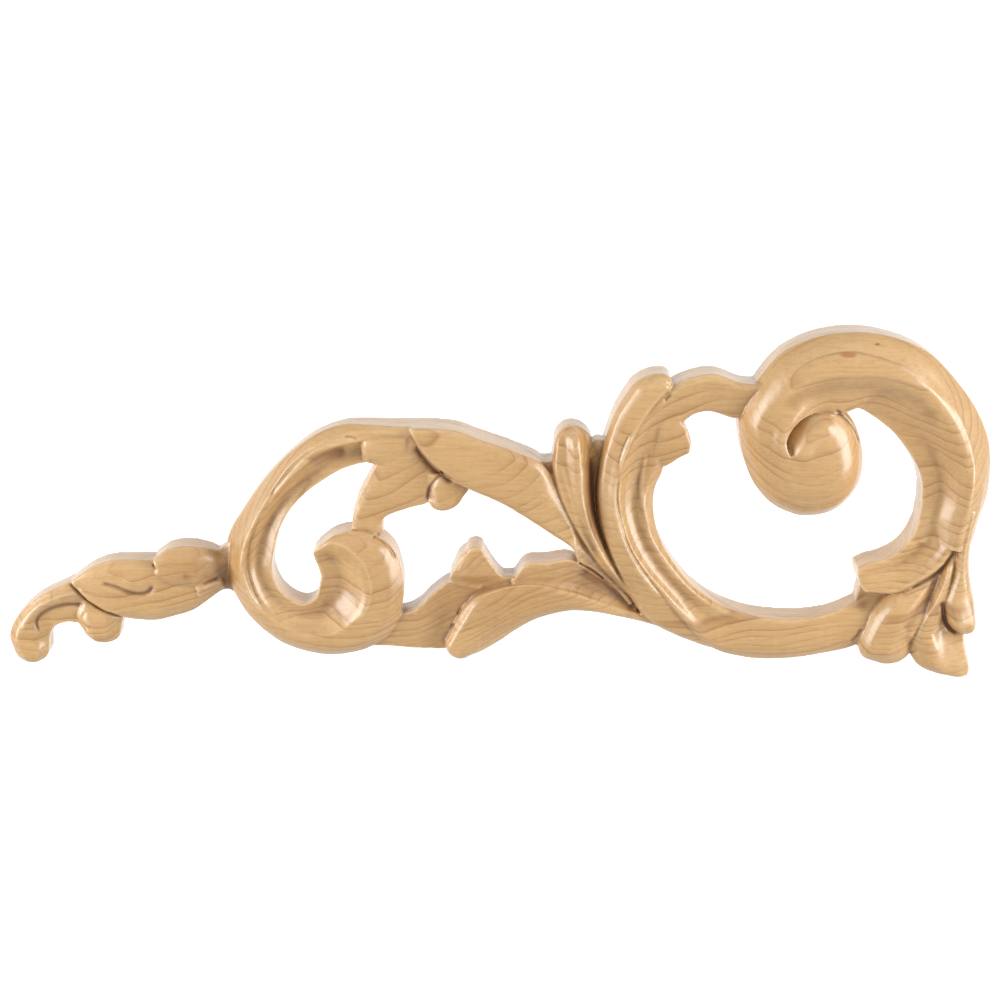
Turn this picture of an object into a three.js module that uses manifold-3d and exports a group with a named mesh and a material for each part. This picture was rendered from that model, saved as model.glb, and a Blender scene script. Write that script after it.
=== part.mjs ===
// A carved maple furniture onlay: one pierced ornament of two C-scrolls, leaves and a tail,
// cut from a single board and left flat behind so that it can be glued to a drawer or a frieze.
//
// Millimetres, +Z up. The back lies in the plane y = 0 and the carving faces -Y. The origin is
// on the back of the long middle leaf, half way along the ornament.

import * as THREE from 'three';
import Module from 'manifold-3d';
import { mergeVertices } from 'three/addons/utils/BufferGeometryUtils.js';

// Driving dimensions

const LENGTH = 360; // tip of the tail to the outside of the great scroll
const DEPTH = 21; // flat back to the top of the great scroll's roll
const MAPLE = { color: 0xdcb684, roughness: 0.42, metalness: 0 };

// How finely the carving is faceted

const STEP_ALONG = 4.2; // between two cuts along a member
const CAP_STEPS = 4; // cuts in the rounding of a member's end
const CAP_TURN = 1.4; // radians of the quarter turn that rounds an end, just short of its point
const PROUD = 3; // how far each member runs behind the back before the back is planed

// The carving is drawn at about full size, and is scaled to the two sizes above at the end.

// A member is drawn as a carver lays it out. `cuts` lists the two edges of the member where lines
// drawn across it meet them: [first edge x, z, second edge x, z]. `sections` gives the surface
// along some of those lines, by the number of the cut: [share of the way across, height above
// the back]. `start` and `end` are the lengths of rounded ends, where the member has them.

const MEMBERS = {
  // The left scroll: top rail, round the left side and the bottom, up into the hollow volute
  leftScroll: {
    cuts: [
      [-26, 16.9, -30, 3.6], [-36, 17, -38, 3], [-46, 17.1, -48.2, 2.9], [-56, 16.7, -57, 0.4],
      [-66.1, 12.9, -63.9, -3.6], [-76.7, 5, -70.7, -8.7], [-86.2, -5.3, -76.3, -14.7],
      [-94, -16.5, -80.4, -22.2], [-99.7, -26.4, -82.4, -29.7], [-101.3, -38, -83.4, -37.5],
      [-96.5, -51.1, -81.1, -44.6], [-88.8, -60.8, -76.6, -49.2], [-78.6, -68, -71.7, -50.9],
      [-62.7, -71.3, -68, -49], [-48.7, -68.3, -66.6, -45.5], [-39.5, -61, -66, -42],
      [-35.7, -50, -65.6, -41], [-36, -38, -66, -39], [-40.2, -27.8, -66.6, -36.6],
      [-51, -22.7, -67.4, -34.2], [-60, -24, -67.9, -32.2], [-66.3, -28.4, -68.3, -31],
    ],
    sections: {
      1: [[0, 12.5], [0.14, 13.5], [0.3, 12.5], [0.5, 9.5], [0.75, 8.5], [1, 9.5]],
      4: [[0, 7], [0.16, 11.5], [0.36, 14.2], [0.46, 12.8], [0.74, 9.5], [1, 10.5]],
      8: [[0, 4], [0.2, 9.5], [0.4, 14.6], [0.48, 13.4], [0.72, 10.6], [1, 12.6]],
      11: [[0, 9.5], [0.2, 13], [0.42, 14.4], [0.52, 13.4], [0.78, 11.5], [1, 12.6]],
      14: [[0, 11.5], [0.18, 15.6], [0.42, 16.2], [0.52, 14], [0.78, 9], [1, 10]],
      18: [[0, 12], [0.2, 15.4], [0.45, 16], [0.55, 14.4], [0.8, 10.5], [1, 11]],
      20: [[0, 12.4], [0.2, 13.5], [0.45, 14], [0.55, 13.8], [0.8, 13], [1, 12]],
    },
  },

  // The leaf that hangs from the top rail behind the long leaf, down to the volute
  hangingLeaf: {
    cuts: [
      [-54, -23, -42.6, -24], [-53.4, -17, -42.4, -18.6], [-51.4, -9.9, -33, -14.3],
      [-48.3, -4, -26.6, -12.4], [-45, 2, -21, -7], [-40, 9, -17, 0], [-34, 14.5, -20, 10],
    ],
    sections: {
      0: [[0, 10], [0.25, 11], [0.7, 11], [1, 9.5]],
      3: [[0, 11], [0.2, 12.4], [0.7, 11.2], [1, 10.2]],
      6: [[0, 12.6], [0.25, 13], [0.7, 11], [1, 9.6]],
    },
  },
  hangingLobe: {
    cuts: [[-33, 15, -35, 3], [-41, 15, -42, 1.8], [-47, 14.2, -46.8, 2.8]],
    end: 3,
    sections: {
      0: [[0, 12.4], [0.3, 13.4], [0.7, 13], [1, 11.4]],
      2: [[0, 12], [0.3, 13.6], [0.7, 13.2], [1, 10.5]],
    },
  },
  hangingTip: {
    cuts: [[-27, -1, -11, -1], [-26, -6, -11, -6.6], [-25.4, -10.8, -13.8, -10.8]],
    end: 4.8,
    sections: {
      0: [[0, 11], [0.3, 12.6], [0.7, 11.5], [1, 9]],
      2: [[0, 10.4], [0.3, 12.4], [0.7, 12], [1, 9.6]],
    },
  },

  // The long middle leaf, from its overhanging tip on the top rail down to the root of the fan
  longLeaf: {
    cuts: [
      [-32, 17, -31.4, 14.4], [-24, 16.9, -27.5, 7], [-15.8, 16, -21, 0], [-6, 12.4, -11, -5.8],
      [5.1, 8.4, 1.1, -11.4], [14, 4.2, 11, -17.8], [19.5, -3, 20, -24.3], [25.5, -15, 26.6, -29.2],
      [30, -24, 28.4, -33.8], [37.5, -36.4, 36, -39.2], [50, -51.5, 48, -52.6],
    ],
    sections: {
      0: [[0, 15], [0.15, 16], [0.5, 16.2], [0.85, 16], [1, 15]],
      4: [[0, 14.4], [0.12, 16.2], [0.5, 16.8], [0.88, 16], [1, 14.6]],
      7: [[0, 11.5], [0.2, 12.6], [0.5, 14], [0.85, 14.4], [1, 12.6]],
      10: [[0, 8.5], [0.2, 9], [0.5, 9.6], [0.85, 9.6], [1, 9]],
    },
  },

  // The fan between the two scrolls: a tall ridged lobe, and a bud behind it
  fanLobe: {
    cuts: [
      [19.4, 8.8, 33.4, 9.4], [18.8, 2, 35.6, 2], [21, -8, 35.6, -8], [25.5, -18, 36.6, -18],
      [30.5, -27, 39.6, -28], [36, -35.5, 44.4, -38], [43, -43.5, 50, -47.5], [52, -53, 55, -56],
    ],
    start: 7.8,
    sections: {
      0: [[0, 12], [0.08, 14], [0.28, 14.6], [0.56, 17], [0.66, 16.4], [0.86, 10.8], [1, 9.5]],
      3: [[0, 12.6], [0.1, 14.2], [0.28, 14.8], [0.56, 17], [0.66, 16], [0.86, 9.8], [1, 8.4]],
      7: [[0, 9], [0.1, 10], [0.28, 10.4], [0.56, 11], [0.66, 10.8], [0.86, 9], [1, 8]],
    },
  },
  fanBud: {
    cuts: [[33.4, -4, 38.4, -4], [33.4, 8.6, 37.8, 8.6]],
    end: 2.2,
    sections: { 0: [[0, 7.5], [0.3, 9], [0.7, 9], [1, 7.5]] },
  },
  fanWeb: {
    cuts: [[11, 5.8, 12, -6], [16, 3.4, 17, -8], [21, 4.6, 22, -8]],
    sections: { 0: [[0, 11], [0.5, 11.4], [1, 11]] },
  },

  // The great C: an outer leaf with a curled tip, and the fluted stem inside it
  outerLeaf: {
    cuts: [
      [46.5, 31.4, 60, 31], [41, 22, 52.6, 22], [37.8, 12, 46.8, 11], [35.8, 2, 43.2, 1],
      [35, -9, 42, -9], [36.3, -20, 43.8, -20], [39.8, -31, 48, -30], [45.5, -43, 54.5, -40.5],
      [53.3, -56.4, 62, -48], [63, -62.9, 71, -53], [75.8, -68.3, 79, -57], [88, -72, 90, -61],
    ],
    start: 6.4,
    sections: {
      0: [[0, 11], [0.15, 14.4], [0.5, 16.2], [0.88, 15.8], [1, 13.6]],
      3: [[0, 11.5], [0.15, 14.4], [0.5, 15.6], [0.9, 16.9], [1, 16]],
      6: [[0, 11.5], [0.15, 14], [0.5, 15.2], [0.9, 16.6], [1, 15.6]],
      10: [[0, 9.5], [0.15, 11.5], [0.5, 12.4], [0.9, 12.6], [1, 11.6]],
      11: [[0, 9], [0.15, 10.4], [0.5, 11], [0.9, 11], [1, 10.4]],
    },
  },
  greatStem: {
    cuts: [
      [93, 32.6, 91, 20], [86.2, 33, 83.6, 19.5], [75.5, 36.4, 75, 22], [65, 34, 69.2, 20.8],
      [56, 28, 63.5, 15], [48, 18, 59.8, 6.8], [43.5, 7.5, 58.6, -0.8], [41.2, -4, 56.3, -7],
      [41.5, -15, 55.8, -14], [45, -26, 57.7, -24.4], [51, -36, 63.1, -34.6],
      [59.5, -46, 70.3, -43.6], [68, -57, 79.4, -50.4], [79.1, -68.7, 89.8, -54.6],
      [91.6, -72.8, 99.4, -56.4], [105.6, -73.4, 110.2, -56.9], [119.8, -71.6, 121, -55.4],
      [133, -68, 131, -51.3], [147, -58, 141, -45],
    ],
    sections: {
      0: [[0, 12.5], [0.12, 13.4], [0.35, 12.6], [0.6, 11.6], [0.82, 11], [1, 10]],
      4: [[0, 13.4], [0.12, 14.2], [0.35, 12.8], [0.6, 12], [0.82, 11.8], [1, 10]],
      8: [[0, 15.6], [0.08, 16.2], [0.3, 13], [0.52, 11.6], [0.74, 12.4], [1, 8]],
      11: [[0, 15], [0.08, 15.4], [0.3, 13], [0.55, 12], [0.85, 12.8], [1, 11]],
      14: [[0, 10], [0.2, 12.6], [0.42, 13.4], [0.65, 13.2], [0.92, 13.4], [1, 12.8]],
      17: [[0, 9], [0.2, 10.8], [0.42, 11.4], [0.65, 11.2], [0.92, 10.6], [1, 10.2]],
      18: [[0, 9], [0.2, 9.6], [0.42, 9.6], [0.65, 9], [0.92, 8.4], [1, 8]],
    },
  },
  stemWeb: {
    cuts: [[40, -37, 40, -50], [50, -37, 50, -56], [62, -44, 62, -58]],
    sections: { 0: [[0, 7.5], [0.5, 8], [1, 7.5]] },
  },
  stemSpur: {
    cuts: [[58, 20.5, 54, 0], [63.4, 19, 60, 1.6], [67, 15.6, 65, 4.8], [68.6, 11.2, 68.1, 6.4]],
    sections: {
      0: [[0, 12], [0.3, 12.4], [0.7, 12], [1, 10]],
      3: [[0, 10.6], [0.3, 11.4], [0.7, 11.2], [1, 10]],
    },
  },

  // The great scroll: up the right side, over the top and down round the eye of its volute
  greatScroll: {
    cuts: [
      [172.2, -30, 153, -27], [174.7, -19, 152.1, -18], [177, -9, 153, -9],
      [177.4, 1, 150.8, 0.5], [175.8, 11, 144.8, 10], [170.6, 22.4, 139.6, 15.8],
      [162.5, 33.3, 133.6, 20.4], [151.8, 43.6, 127.6, 23.6], [138.5, 49.6, 122.6, 22.4],
      [125, 51.5, 117.5, 22.3], [111.5, 49.6, 111.5, 22.8], [99.8, 43.7, 106.5, 20.8],
      [91.5, 33.5, 103.3, 17.5], [85.6, 22, 101.6, 13], [86.3, 11, 103, 8.4],
      [88.6, 2.4, 106, 6], [92.8, -6.6, 109, 4.4], [99.3, -13.5, 111.4, 3.8],
      [107.2, -17.3, 112.6, 3.6],
    ],
    sections: {
      0: [[0, 9], [0.16, 14], [0.34, 16.6], [0.5, 15], [0.76, 11.2], [1, 12]],
      3: [[0, 8], [0.16, 14], [0.36, 18], [0.5, 16.4], [0.76, 11.6], [1, 12]],
      6: [[0, 9], [0.16, 15], [0.34, 19], [0.52, 17.6], [0.76, 13.6], [1, 11.5]],
      9: [[0, 12.5], [0.12, 16.6], [0.32, 20], [0.56, 18.8], [0.8, 16], [1, 14.6]],
      12: [[0, 10], [0.18, 16], [0.42, 19.2], [0.64, 19.8], [0.86, 20.4], [1, 19.4]],
      13: [[0, 9], [0.18, 14.6], [0.4, 17.8], [0.64, 18.6], [0.88, 20.6], [1, 20]],
      15: [[0, 8], [0.18, 13.2], [0.4, 16.8], [0.64, 18.6], [0.86, 19.4], [1, 19.5]],
      18: [[0, 8], [0.14, 12.6], [0.32, 16], [0.56, 18.4], [0.8, 19.3], [1, 19.5]],
    },
  },
  voluteBall: {
    cuts: [
      [103.2, -15.6, 112, 3.6], [115.3, -17.5, 113.2, 3.8], [123.5, -14.3, 113.6, 4],
      [129.6, -6.1, 113.8, 4.4], [131, 3, 113.6, 5], [129.4, 12, 113, 6], [125.6, 19.6, 112, 7.4],
      [118.6, 24.6, 110.6, 8.4], [110.4, 25, 109, 8.6], [104, 20.8, 107.4, 8.2],
      [101, 13.6, 106.4, 7], [100.6, 8, 106, 5.6],
    ],
    sections: {
      0: [[0, 8], [0.14, 12.4], [0.32, 15.8], [0.54, 18.2], [0.78, 19.2], [1, 19.5]],
      6: [[0, 9], [0.14, 13.6], [0.32, 16.6], [0.54, 18.4], [0.78, 19.2], [1, 19.5]],
      8: [[0, 13.4], [0.14, 14.4], [0.32, 16], [0.54, 18], [0.78, 19.2], [1, 19.5]],
      9: [[0, 13], [0.2, 13.6], [0.4, 15.8], [0.6, 17.8], [0.8, 19.1], [1, 19.5]],
      10: [[0, 14], [0.2, 15], [0.4, 16.6], [0.6, 18.2], [0.8, 19.1], [1, 19.5]],
      11: [[0, 19], [0.2, 19.2], [0.4, 19.3], [0.6, 19.4], [0.8, 19.5], [1, 19.5]],
    },
  },
  voluteEye: {
    cuts: [
      [103, 5, 103, 8], [106, 3.4, 106.4, 9], [109.6, 2.6, 110, 9.4], [113, 2.4, 113.6, 8],
      [115.4, 3.4, 115.4, 6],
    ],
    sections: { 0: [[0, 19.3], [0.5, 19.5], [1, 19.3]] },
  },

  // The foot of the great scroll: a hollow lip, two broad lobes and the drop outside them
  footLip: {
    cuts: [
      [168.4, -8, 152.6, -6], [168, -18, 152.6, -15.1], [165.4, -28, 150.8, -22.6],
      [161, -35.6, 146.3, -29.5], [154, -41.6, 139.9, -33.3], [145, -46.2, 134.4, -34.9],
      [134, -46, 131, -36.6],
    ],
    end: 0.9,
    sections: {
      0: [[0, 15.4], [0.12, 15.6], [0.35, 13.4], [0.65, 11.4], [0.9, 11.6], [1, 11.4]],
      3: [[0, 13.4], [0.12, 14.8], [0.35, 12.4], [0.65, 11], [0.9, 12.4], [1, 12.4]],
      6: [[0, 12.6], [0.12, 13.6], [0.35, 13.2], [0.65, 13.2], [0.9, 13.4], [1, 12.6]],
    },
  },
  footWeb: {
    cuts: [
      [132.8, -44, 130.8, -56], [140, -40, 140, -62], [150, -36, 150, -66],
      [160, -30, 160, -67], [170, -20, 169, -66],
    ],
    sections: { 0: [[0, 8], [0.5, 8.5], [1, 8]] },
  },
  footLobeLeft: {
    cuts: [
      [160, -36, 165, -33], [152, -42.6, 162, -43], [144, -47, 159.6, -50],
      [138.2, -53.5, 156.8, -57], [134.8, -60.5, 154.2, -63.5], [133.2, -67.4, 152.8, -69.4],
      [134.8, -72.2, 151.6, -72.2], [141, -75, 148.8, -74.6],
    ],
    sections: {
      0: [[0, 11], [0.1, 11.4], [0.24, 11.6], [0.5, 11.4], [0.75, 11], [1, 10]],
      3: [[0, 11], [0.1, 13.6], [0.24, 15.6], [0.5, 15.8], [0.75, 13.8], [1, 10.4]],
      5: [[0, 10.6], [0.1, 13.4], [0.24, 15.2], [0.5, 15.4], [0.75, 13.6], [1, 10.4]],
      7: [[0, 10], [0.1, 10.8], [0.24, 11.6], [0.5, 11.8], [0.75, 11.4], [1, 10.2]],
    },
  },
  footLobeRight: {
    cuts: [
      [163.6, -30, 169, -30], [161, -42, 169, -42], [157, -52, 171, -53],
      [153.4, -61, 171.8, -62], [151.8, -68.4, 172.7, -68.4], [155.2, -75, 174.1, -73.4],
      [161.6, -78.6, 174.7, -77.4], [168, -80.2, 174.4, -79.6],
    ],
    sections: {
      0: [[0, 12], [0.2, 13], [0.36, 13.4], [0.56, 13], [0.8, 12.4], [1, 12]],
      1: [[0, 11.4], [0.2, 14], [0.36, 14.2], [0.56, 12.4], [0.8, 11.4], [1, 11]],
      3: [[0, 10.8], [0.16, 14.2], [0.3, 14], [0.56, 11], [0.8, 10.6], [1, 10.6]],
      4: [[0, 10.6], [0.16, 13.6], [0.4, 14.8], [0.6, 13.4], [0.82, 12.2], [1, 11.4]],
      5: [[0, 10.6], [0.16, 13.2], [0.36, 14.6], [0.6, 13.6], [0.82, 12.6], [1, 11.6]],
      7: [[0, 10.6], [0.16, 11.4], [0.36, 12.2], [0.6, 12.4], [0.82, 12], [1, 11.2]],
    },
  },
  footDrop: {
    cuts: [
      [168, -14, 175.7, -14], [166.8, -28, 172.4, -28], [166, -38, 172.3, -38],
      [164, -44.6, 173.6, -45], [162.8, -50, 174.9, -50.6], [164.8, -56.4, 176, -57.4],
    ],
    end: 6.2,
    sections: {
      0: [[0, 15.4], [0.14, 15.8], [0.34, 16], [0.6, 14.4], [0.86, 11], [1, 9]],
      3: [[0, 12.6], [0.14, 14.4], [0.34, 15.8], [0.6, 15.4], [0.86, 13.4], [1, 9.6]],
      5: [[0, 12.4], [0.14, 15], [0.34, 16.4], [0.6, 15.6], [0.86, 14.4], [1, 10.5]],
    },
  },

  // Between the scrolls below: a low leaf with a peaked lobe, the broad leaf over it, its flute
  lowLeaf: {
    cuts: [
      [-41, -56, -47.4, -68.2], [-34.2, -54.4, -40.6, -68.3], [-30.1, -52.2, -33.2, -69],
      [-24.4, -46.7, -27.1, -69.4], [-18, -42.4, -20.2, -69.7], [-9, -41.4, -12, -66],
      [5.6, -40.8, 1, -58],
    ],
    sections: {
      0: [[0, 11], [0.3, 11.4], [0.7, 11], [1, 10]],
      2: [[0, 12.4], [0.3, 11.8], [0.7, 11], [1, 10]],
      4: [[0, 10.8], [0.3, 9.6], [0.7, 9.2], [1, 9]],
      6: [[0, 10.5], [0.3, 10.5], [0.7, 10.5], [1, 10]],
    },
  },
  peakLobe: {
    cuts: [
      [-18, -47, 0, -47], [-18.4, -41.4, 2, -42], [-17, -37.4, -0.6, -39], [-15, -33, -4, -34],
      [-12, -30.2, -6, -30.6],
    ],
    end: 2,
    sections: {
      0: [[0, 9.4], [0.25, 9.6], [0.6, 9.4], [1, 9]],
      2: [[0, 12.4], [0.25, 14], [0.6, 12.6], [1, 10.8]],
      4: [[0, 12.4], [0.25, 13.2], [0.6, 13], [1, 12.4]],
    },
  },
  broadLeaf: {
    cuts: [
      [-19.2, -64.5, -11.4, -72.2], [-17, -59.6, -6.9, -70.2], [-14, -53.3, -0.9, -66.5],
      [-9.3, -48, 5.4, -62], [-2, -44.8, 12, -58], [6, -43, 19, -55.3], [15, -43, 26.6, -54],
      [26, -45.8, 34.5, -54.6], [37, -50, 43.5, -56.5], [50, -55, 54.6, -59.4],
      [58, -57, 63, -62.4],
    ],
    start: 4.4,
    sections: {
      0: [[0, 12.4], [0.18, 14.6], [0.5, 15], [0.82, 13.4], [1, 10.4]],
      3: [[0, 14], [0.18, 16], [0.5, 15.4], [0.82, 13.4], [1, 10.6]],
      6: [[0, 13.4], [0.18, 14], [0.5, 13.6], [0.82, 12.6], [1, 10.8]],
      9: [[0, 10], [0.18, 10.4], [0.5, 10.6], [0.82, 10.4], [1, 9.6]],
      10: [[0, 9], [0.18, 9.4], [0.5, 9.6], [0.82, 9.6], [1, 9]],
    },
  },
  leafFlute: {
    cuts: [
      [5.4, -40.6, 3.6, -44.6], [9.6, -35.3, 9, -44.6], [17, -34.6, 17, -44.6],
      [25.5, -33.7, 25, -47], [31, -37, 33, -49.6], [39, -43, 42, -52.6], [50, -52, 51, -56],
    ],
    sections: {
      0: [[0, 12], [0.3, 12], [0.65, 12], [1, 12.6]],
      2: [[0, 12.6], [0.3, 12.4], [0.65, 11.8], [1, 13]],
      4: [[0, 11.4], [0.3, 9.4], [0.65, 9], [1, 12]],
      6: [[0, 9], [0.3, 8.5], [0.65, 8.5], [1, 9.6]],
    },
  },

  // The tail: a folded leaf on a narrow neck, a knuckle over it, and a curl with a ball under it
  tailLeaf: {
    cuts: [
      [-157.6, -42.6, -157, -44], [-151, -38, -151.6, -50], [-144, -35.2, -144, -54.6],
      [-136, -34.6, -136, -57.5], [-128, -34.6, -128, -58.6], [-121, -33.4, -121, -57.2],
      [-113.5, -32, -113, -54.5], [-106, -32.8, -106, -49.3], [-100.8, -30, -100.4, -47.6],
      [-94, -19, -92, -56],
    ],
    sections: {
      0: [[0, 10.4], [0.2, 11], [0.5, 11.2], [0.8, 11.2], [1, 10.8]],
      2: [[0, 9.6], [0.2, 11.8], [0.5, 13], [0.8, 12.8], [1, 11.6]],
      4: [[0, 9.6], [0.2, 12.4], [0.5, 12.2], [0.8, 11.6], [1, 8.6]],
      6: [[0, 9], [0.2, 10.6], [0.5, 11], [0.8, 10.2], [1, 7.6]],
      8: [[0, 6], [0.2, 7], [0.5, 7.2], [0.8, 6.6], [1, 5.6]],
    },
  },
  tailKnuckle: {
    cuts: [
      [-126.7, -33.7, -125.6, -40.4], [-121.6, -30.2, -120.6, -44], [-114.5, -29.1, -113.4, -45],
      [-107, -30.6, -106.4, -43.4], [-101, -34, -101, -41],
    ],
    sections: {
      0: [[0, 11.6], [0.3, 13], [0.7, 13], [1, 12]],
      2: [[0, 10.4], [0.3, 13.4], [0.7, 13.2], [1, 10.6]],
      4: [[0, 6.4], [0.3, 7.6], [0.7, 7.6], [1, 6.4]],
    },
  },
  tailTuck: {
    cuts: [[-112, -41, -110.4, -52.6], [-107, -41.6, -106.1, -49.4], [-103.4, -42, -102.9, -47.2]],
    end: 1.4,
    sections: {
      0: [[0, 9.6], [0.4, 11.4], [1, 8.4]],
      2: [[0, 7.4], [0.4, 9.6], [1, 7.4]],
    },
  },
  tailCurl: {
    cuts: [
      [-146, -37.6, -146, -57], [-155.2, -41.9, -155, -59.8], [-163.3, -45.6, -161, -59.4],
      [-171.6, -50, -164.4, -60.4], [-178.8, -57, -166.4, -62.2], [-182.3, -64.8, -167.8, -65.6],
      [-181.2, -70.6, -168.2, -69.8],
    ],
    end: 5.4,
    sections: {
      0: [[0, 8.4], [0.25, 9.4], [0.6, 8.2], [1, 7.8]],
      3: [[0, 9], [0.25, 11], [0.6, 9], [1, 9]],
      5: [[0, 8], [0.25, 11], [0.6, 11], [1, 8]],
      6: [[0, 8], [0.3, 11.2], [0.7, 11.4], [1, 8]],
    },
  },
  tailBall: {
    cuts: [
      [-157.8, -51, -138.6, -51], [-157.4, -58.2, -140, -58], [-155, -62.9, -141.3, -63.3],
    ],
    end: 4.8,
    sections: {
      0: [[0, 7.5], [0.25, 9], [0.6, 8.6], [1, 7]],
      1: [[0, 7.5], [0.25, 10.6], [0.6, 10.8], [1, 7.5]],
      2: [[0, 7.5], [0.25, 10.6], [0.6, 10.6], [1, 7.5]],
    },
  },
};

// From a drawing to cuts across the finished member

/** Both edges and the section of a member at `station`, a number of the way along its cuts. */
function cutAt({ cuts, sections }, edges, station) {
  const share = station / (cuts.length - 1);
  return {
    first: edges[0].getPoint(share),
    second: edges[1].getPoint(share),
    section: sectionAt(sections, station),
  };
}

/** The section at `station`, eased between the drawn ones on either side of it. */
function sectionAt(sections, station) {
  const drawn = Object.keys(sections).map(Number).sort((a, b) => a - b);
  const after = drawn.find((s) => s >= station) ?? drawn.at(-1);
  const before = drawn.filter((s) => s <= station).at(-1) ?? drawn[0];
  const share = after === before ? 0 : THREE.MathUtils.smoothstep(station, before, after);
  return sections[before].map(([across, height], i) => [
    THREE.MathUtils.lerp(across, sections[after][i][0], share),
    THREE.MathUtils.lerp(height, sections[after][i][1], share),
  ]);
}

/** Rounds the end of a member: cuts that shrink along a quarter ellipse of the given length. */
function roundedEnd(last, inner, length) {
  const middle = last.first.clone().add(last.second).multiplyScalar(0.5);
  const half = last.first.clone().sub(last.second).multiplyScalar(0.5);
  const outward = middle.clone().sub(inner.first.clone().add(inner.second).multiplyScalar(0.5));
  outward.normalize();
  const edgeHeight = Math.min(last.section[0][1], last.section.at(-1)[1]);
  return Array.from({ length: CAP_STEPS }, (_, i) => {
    const turn = (CAP_TURN * (i + 1)) / CAP_STEPS;
    const centre = middle.clone().addScaledVector(outward, length * Math.sin(turn));
    return {
      first: centre.clone().addScaledVector(half, Math.cos(turn)),
      second: centre.clone().addScaledVector(half, -Math.cos(turn)),
      section: last.section.map(([across, height]) => [
        across,
        edgeHeight + (height - edgeHeight) * Math.cos(turn),
      ]),
    };
  });
}

/** All the cuts along a member, spaced evenly by the length of its middle line. */
function cutsAlong(member) {
  const edges = [0, 2].map(
    (i) =>
      new THREE.CatmullRomCurve3(
        member.cuts.map((cut) => new THREE.Vector3(cut[i], 0, cut[i + 1])),
        false,
        'centripetal',
      ),
  );
  const rows = [];
  const spans = member.cuts.length - 1;
  for (let span = 0; span < spans; span++) {
    const [from, to] = [cutAt(member, edges, span), cutAt(member, edges, span + 1)];
    const reach = (from.first.distanceTo(to.first) + from.second.distanceTo(to.second)) / 2;
    const steps = Math.max(1, Math.round(reach / STEP_ALONG));
    for (let step = 0; step < steps; step++) rows.push(cutAt(member, edges, span + step / steps));
  }
  rows.push(cutAt(member, edges, spans));
  if (member.start) rows.unshift(...roundedEnd(rows[0], rows[1], member.start).reverse());
  if (member.end) rows.push(...roundedEnd(rows.at(-1), rows.at(-2), member.end));
  return rows;
}

// From cuts to a solid

const drawnMembers = Object.values(MEMBERS).map(cutsAlong);
const drawnEdges = drawnMembers.flat().flatMap(({ first, second }) => [first.x, second.x]);
const drawnHeights = drawnMembers.flat().flatMap(({ section }) => section.map(([, high]) => high));
const plan = LENGTH / (Math.max(...drawnEdges) - Math.min(...drawnEdges));
const relief = DEPTH / Math.max(...drawnHeights);

/** One member as a closed mesh: its carved face, straight sides, and a back behind y = 0. */
function memberGeometry(rows) {
  const columns = rows[0].section.length;
  const positions = [];
  for (const behind of [false, true]) {
    for (const { first, second, section } of rows) {
      for (const [across, height] of section) {
        const place = first.clone().lerp(second, across).multiplyScalar(plan);
        positions.push(place.x, behind ? PROUD : -height * relief, place.z);
      }
    }
  }
  const sheet = rows.length * columns;
  const at = (row, column, behind) => row * columns + column + (behind ? sheet : 0);
  const triangles = [];
  const quad = (a, b, c, d) => triangles.push(a, b, c, a, c, d);
  for (let r = 0; r < rows.length - 1; r++) {
    for (let c = 0; c < columns - 1; c++) {
      quad(at(r, c), at(r, c + 1), at(r + 1, c + 1), at(r + 1, c));
      quad(at(r, c, true), at(r + 1, c, true), at(r + 1, c + 1, true), at(r, c + 1, true));
    }
    quad(at(r, 0), at(r + 1, 0), at(r + 1, 0, true), at(r, 0, true));
    const last = columns - 1;
    quad(at(r, last), at(r, last, true), at(r + 1, last, true), at(r + 1, last));
  }
  for (let c = 0; c < columns - 1; c++) {
    const end = rows.length - 1;
    quad(at(0, c), at(0, c, true), at(0, c + 1, true), at(0, c + 1));
    quad(at(end, c), at(end, c + 1), at(end, c + 1, true), at(end, c, true));
  }
  const geometry = new THREE.BufferGeometry();
  geometry.setAttribute('position', new THREE.Float32BufferAttribute(positions, 3));
  geometry.setIndex(facesOutward(positions, triangles));
  return geometry;
}

/** The triangles, all turned over if together they enclose a negative volume. */
function facesOutward(positions, triangles) {
  const corner = (i) => new THREE.Vector3().fromArray(positions, 3 * i);
  let volume = 0;
  for (let i = 0; i < triangles.length; i += 3) {
    const [a, b, c] = triangles.slice(i, i + 3).map(corner);
    volume += a.dot(b.cross(c));
  }
  return volume < 0 ? triangles.toReversed() : triangles;
}

// Joining the members into one piece of wood

const wasm = await Module();
wasm.setup();

function solidOf(geometry) {
  const bare = geometry.clone();
  bare.deleteAttribute('normal');
  bare.deleteAttribute('uv');
  const merged = mergeVertices(bare);
  return new wasm.Manifold(
    new wasm.Mesh({
      numProp: 3,
      vertProperties: new Float32Array(merged.attributes.position.array),
      triVerts: new Uint32Array(merged.index.array),
    }),
  );
}

function geometryOf(solid) {
  const mesh = solid.getMesh();
  const geometry = new THREE.BufferGeometry();
  geometry.setAttribute('position', new THREE.BufferAttribute(mesh.vertProperties, 3));
  geometry.setIndex(new THREE.BufferAttribute(mesh.triVerts, 1));
  geometry.computeVertexNormals();
  return geometry;
}

/** Everything behind the plane y = 0, which planing the back takes away. */
function wasteBehind() {
  const thick = 4 * PROUD;
  const waste = new THREE.BoxGeometry(2 * LENGTH, thick, 2 * LENGTH);
  return waste.translate(0, thick / 2, 0);
}

const joined = drawnMembers
  .map((rows) => solidOf(memberGeometry(rows)))
  .reduce((whole, member) => whole.add(member))
  .subtract(solidOf(wasteBehind()));

const onlay = new THREE.Mesh(geometryOf(joined), new THREE.MeshStandardMaterial(MAPLE));
onlay.name = 'carved_onlay';

const furnitureOnlay = new THREE.Group();
furnitureOnlay.add(onlay);

export default furnitureOnlay;
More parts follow.
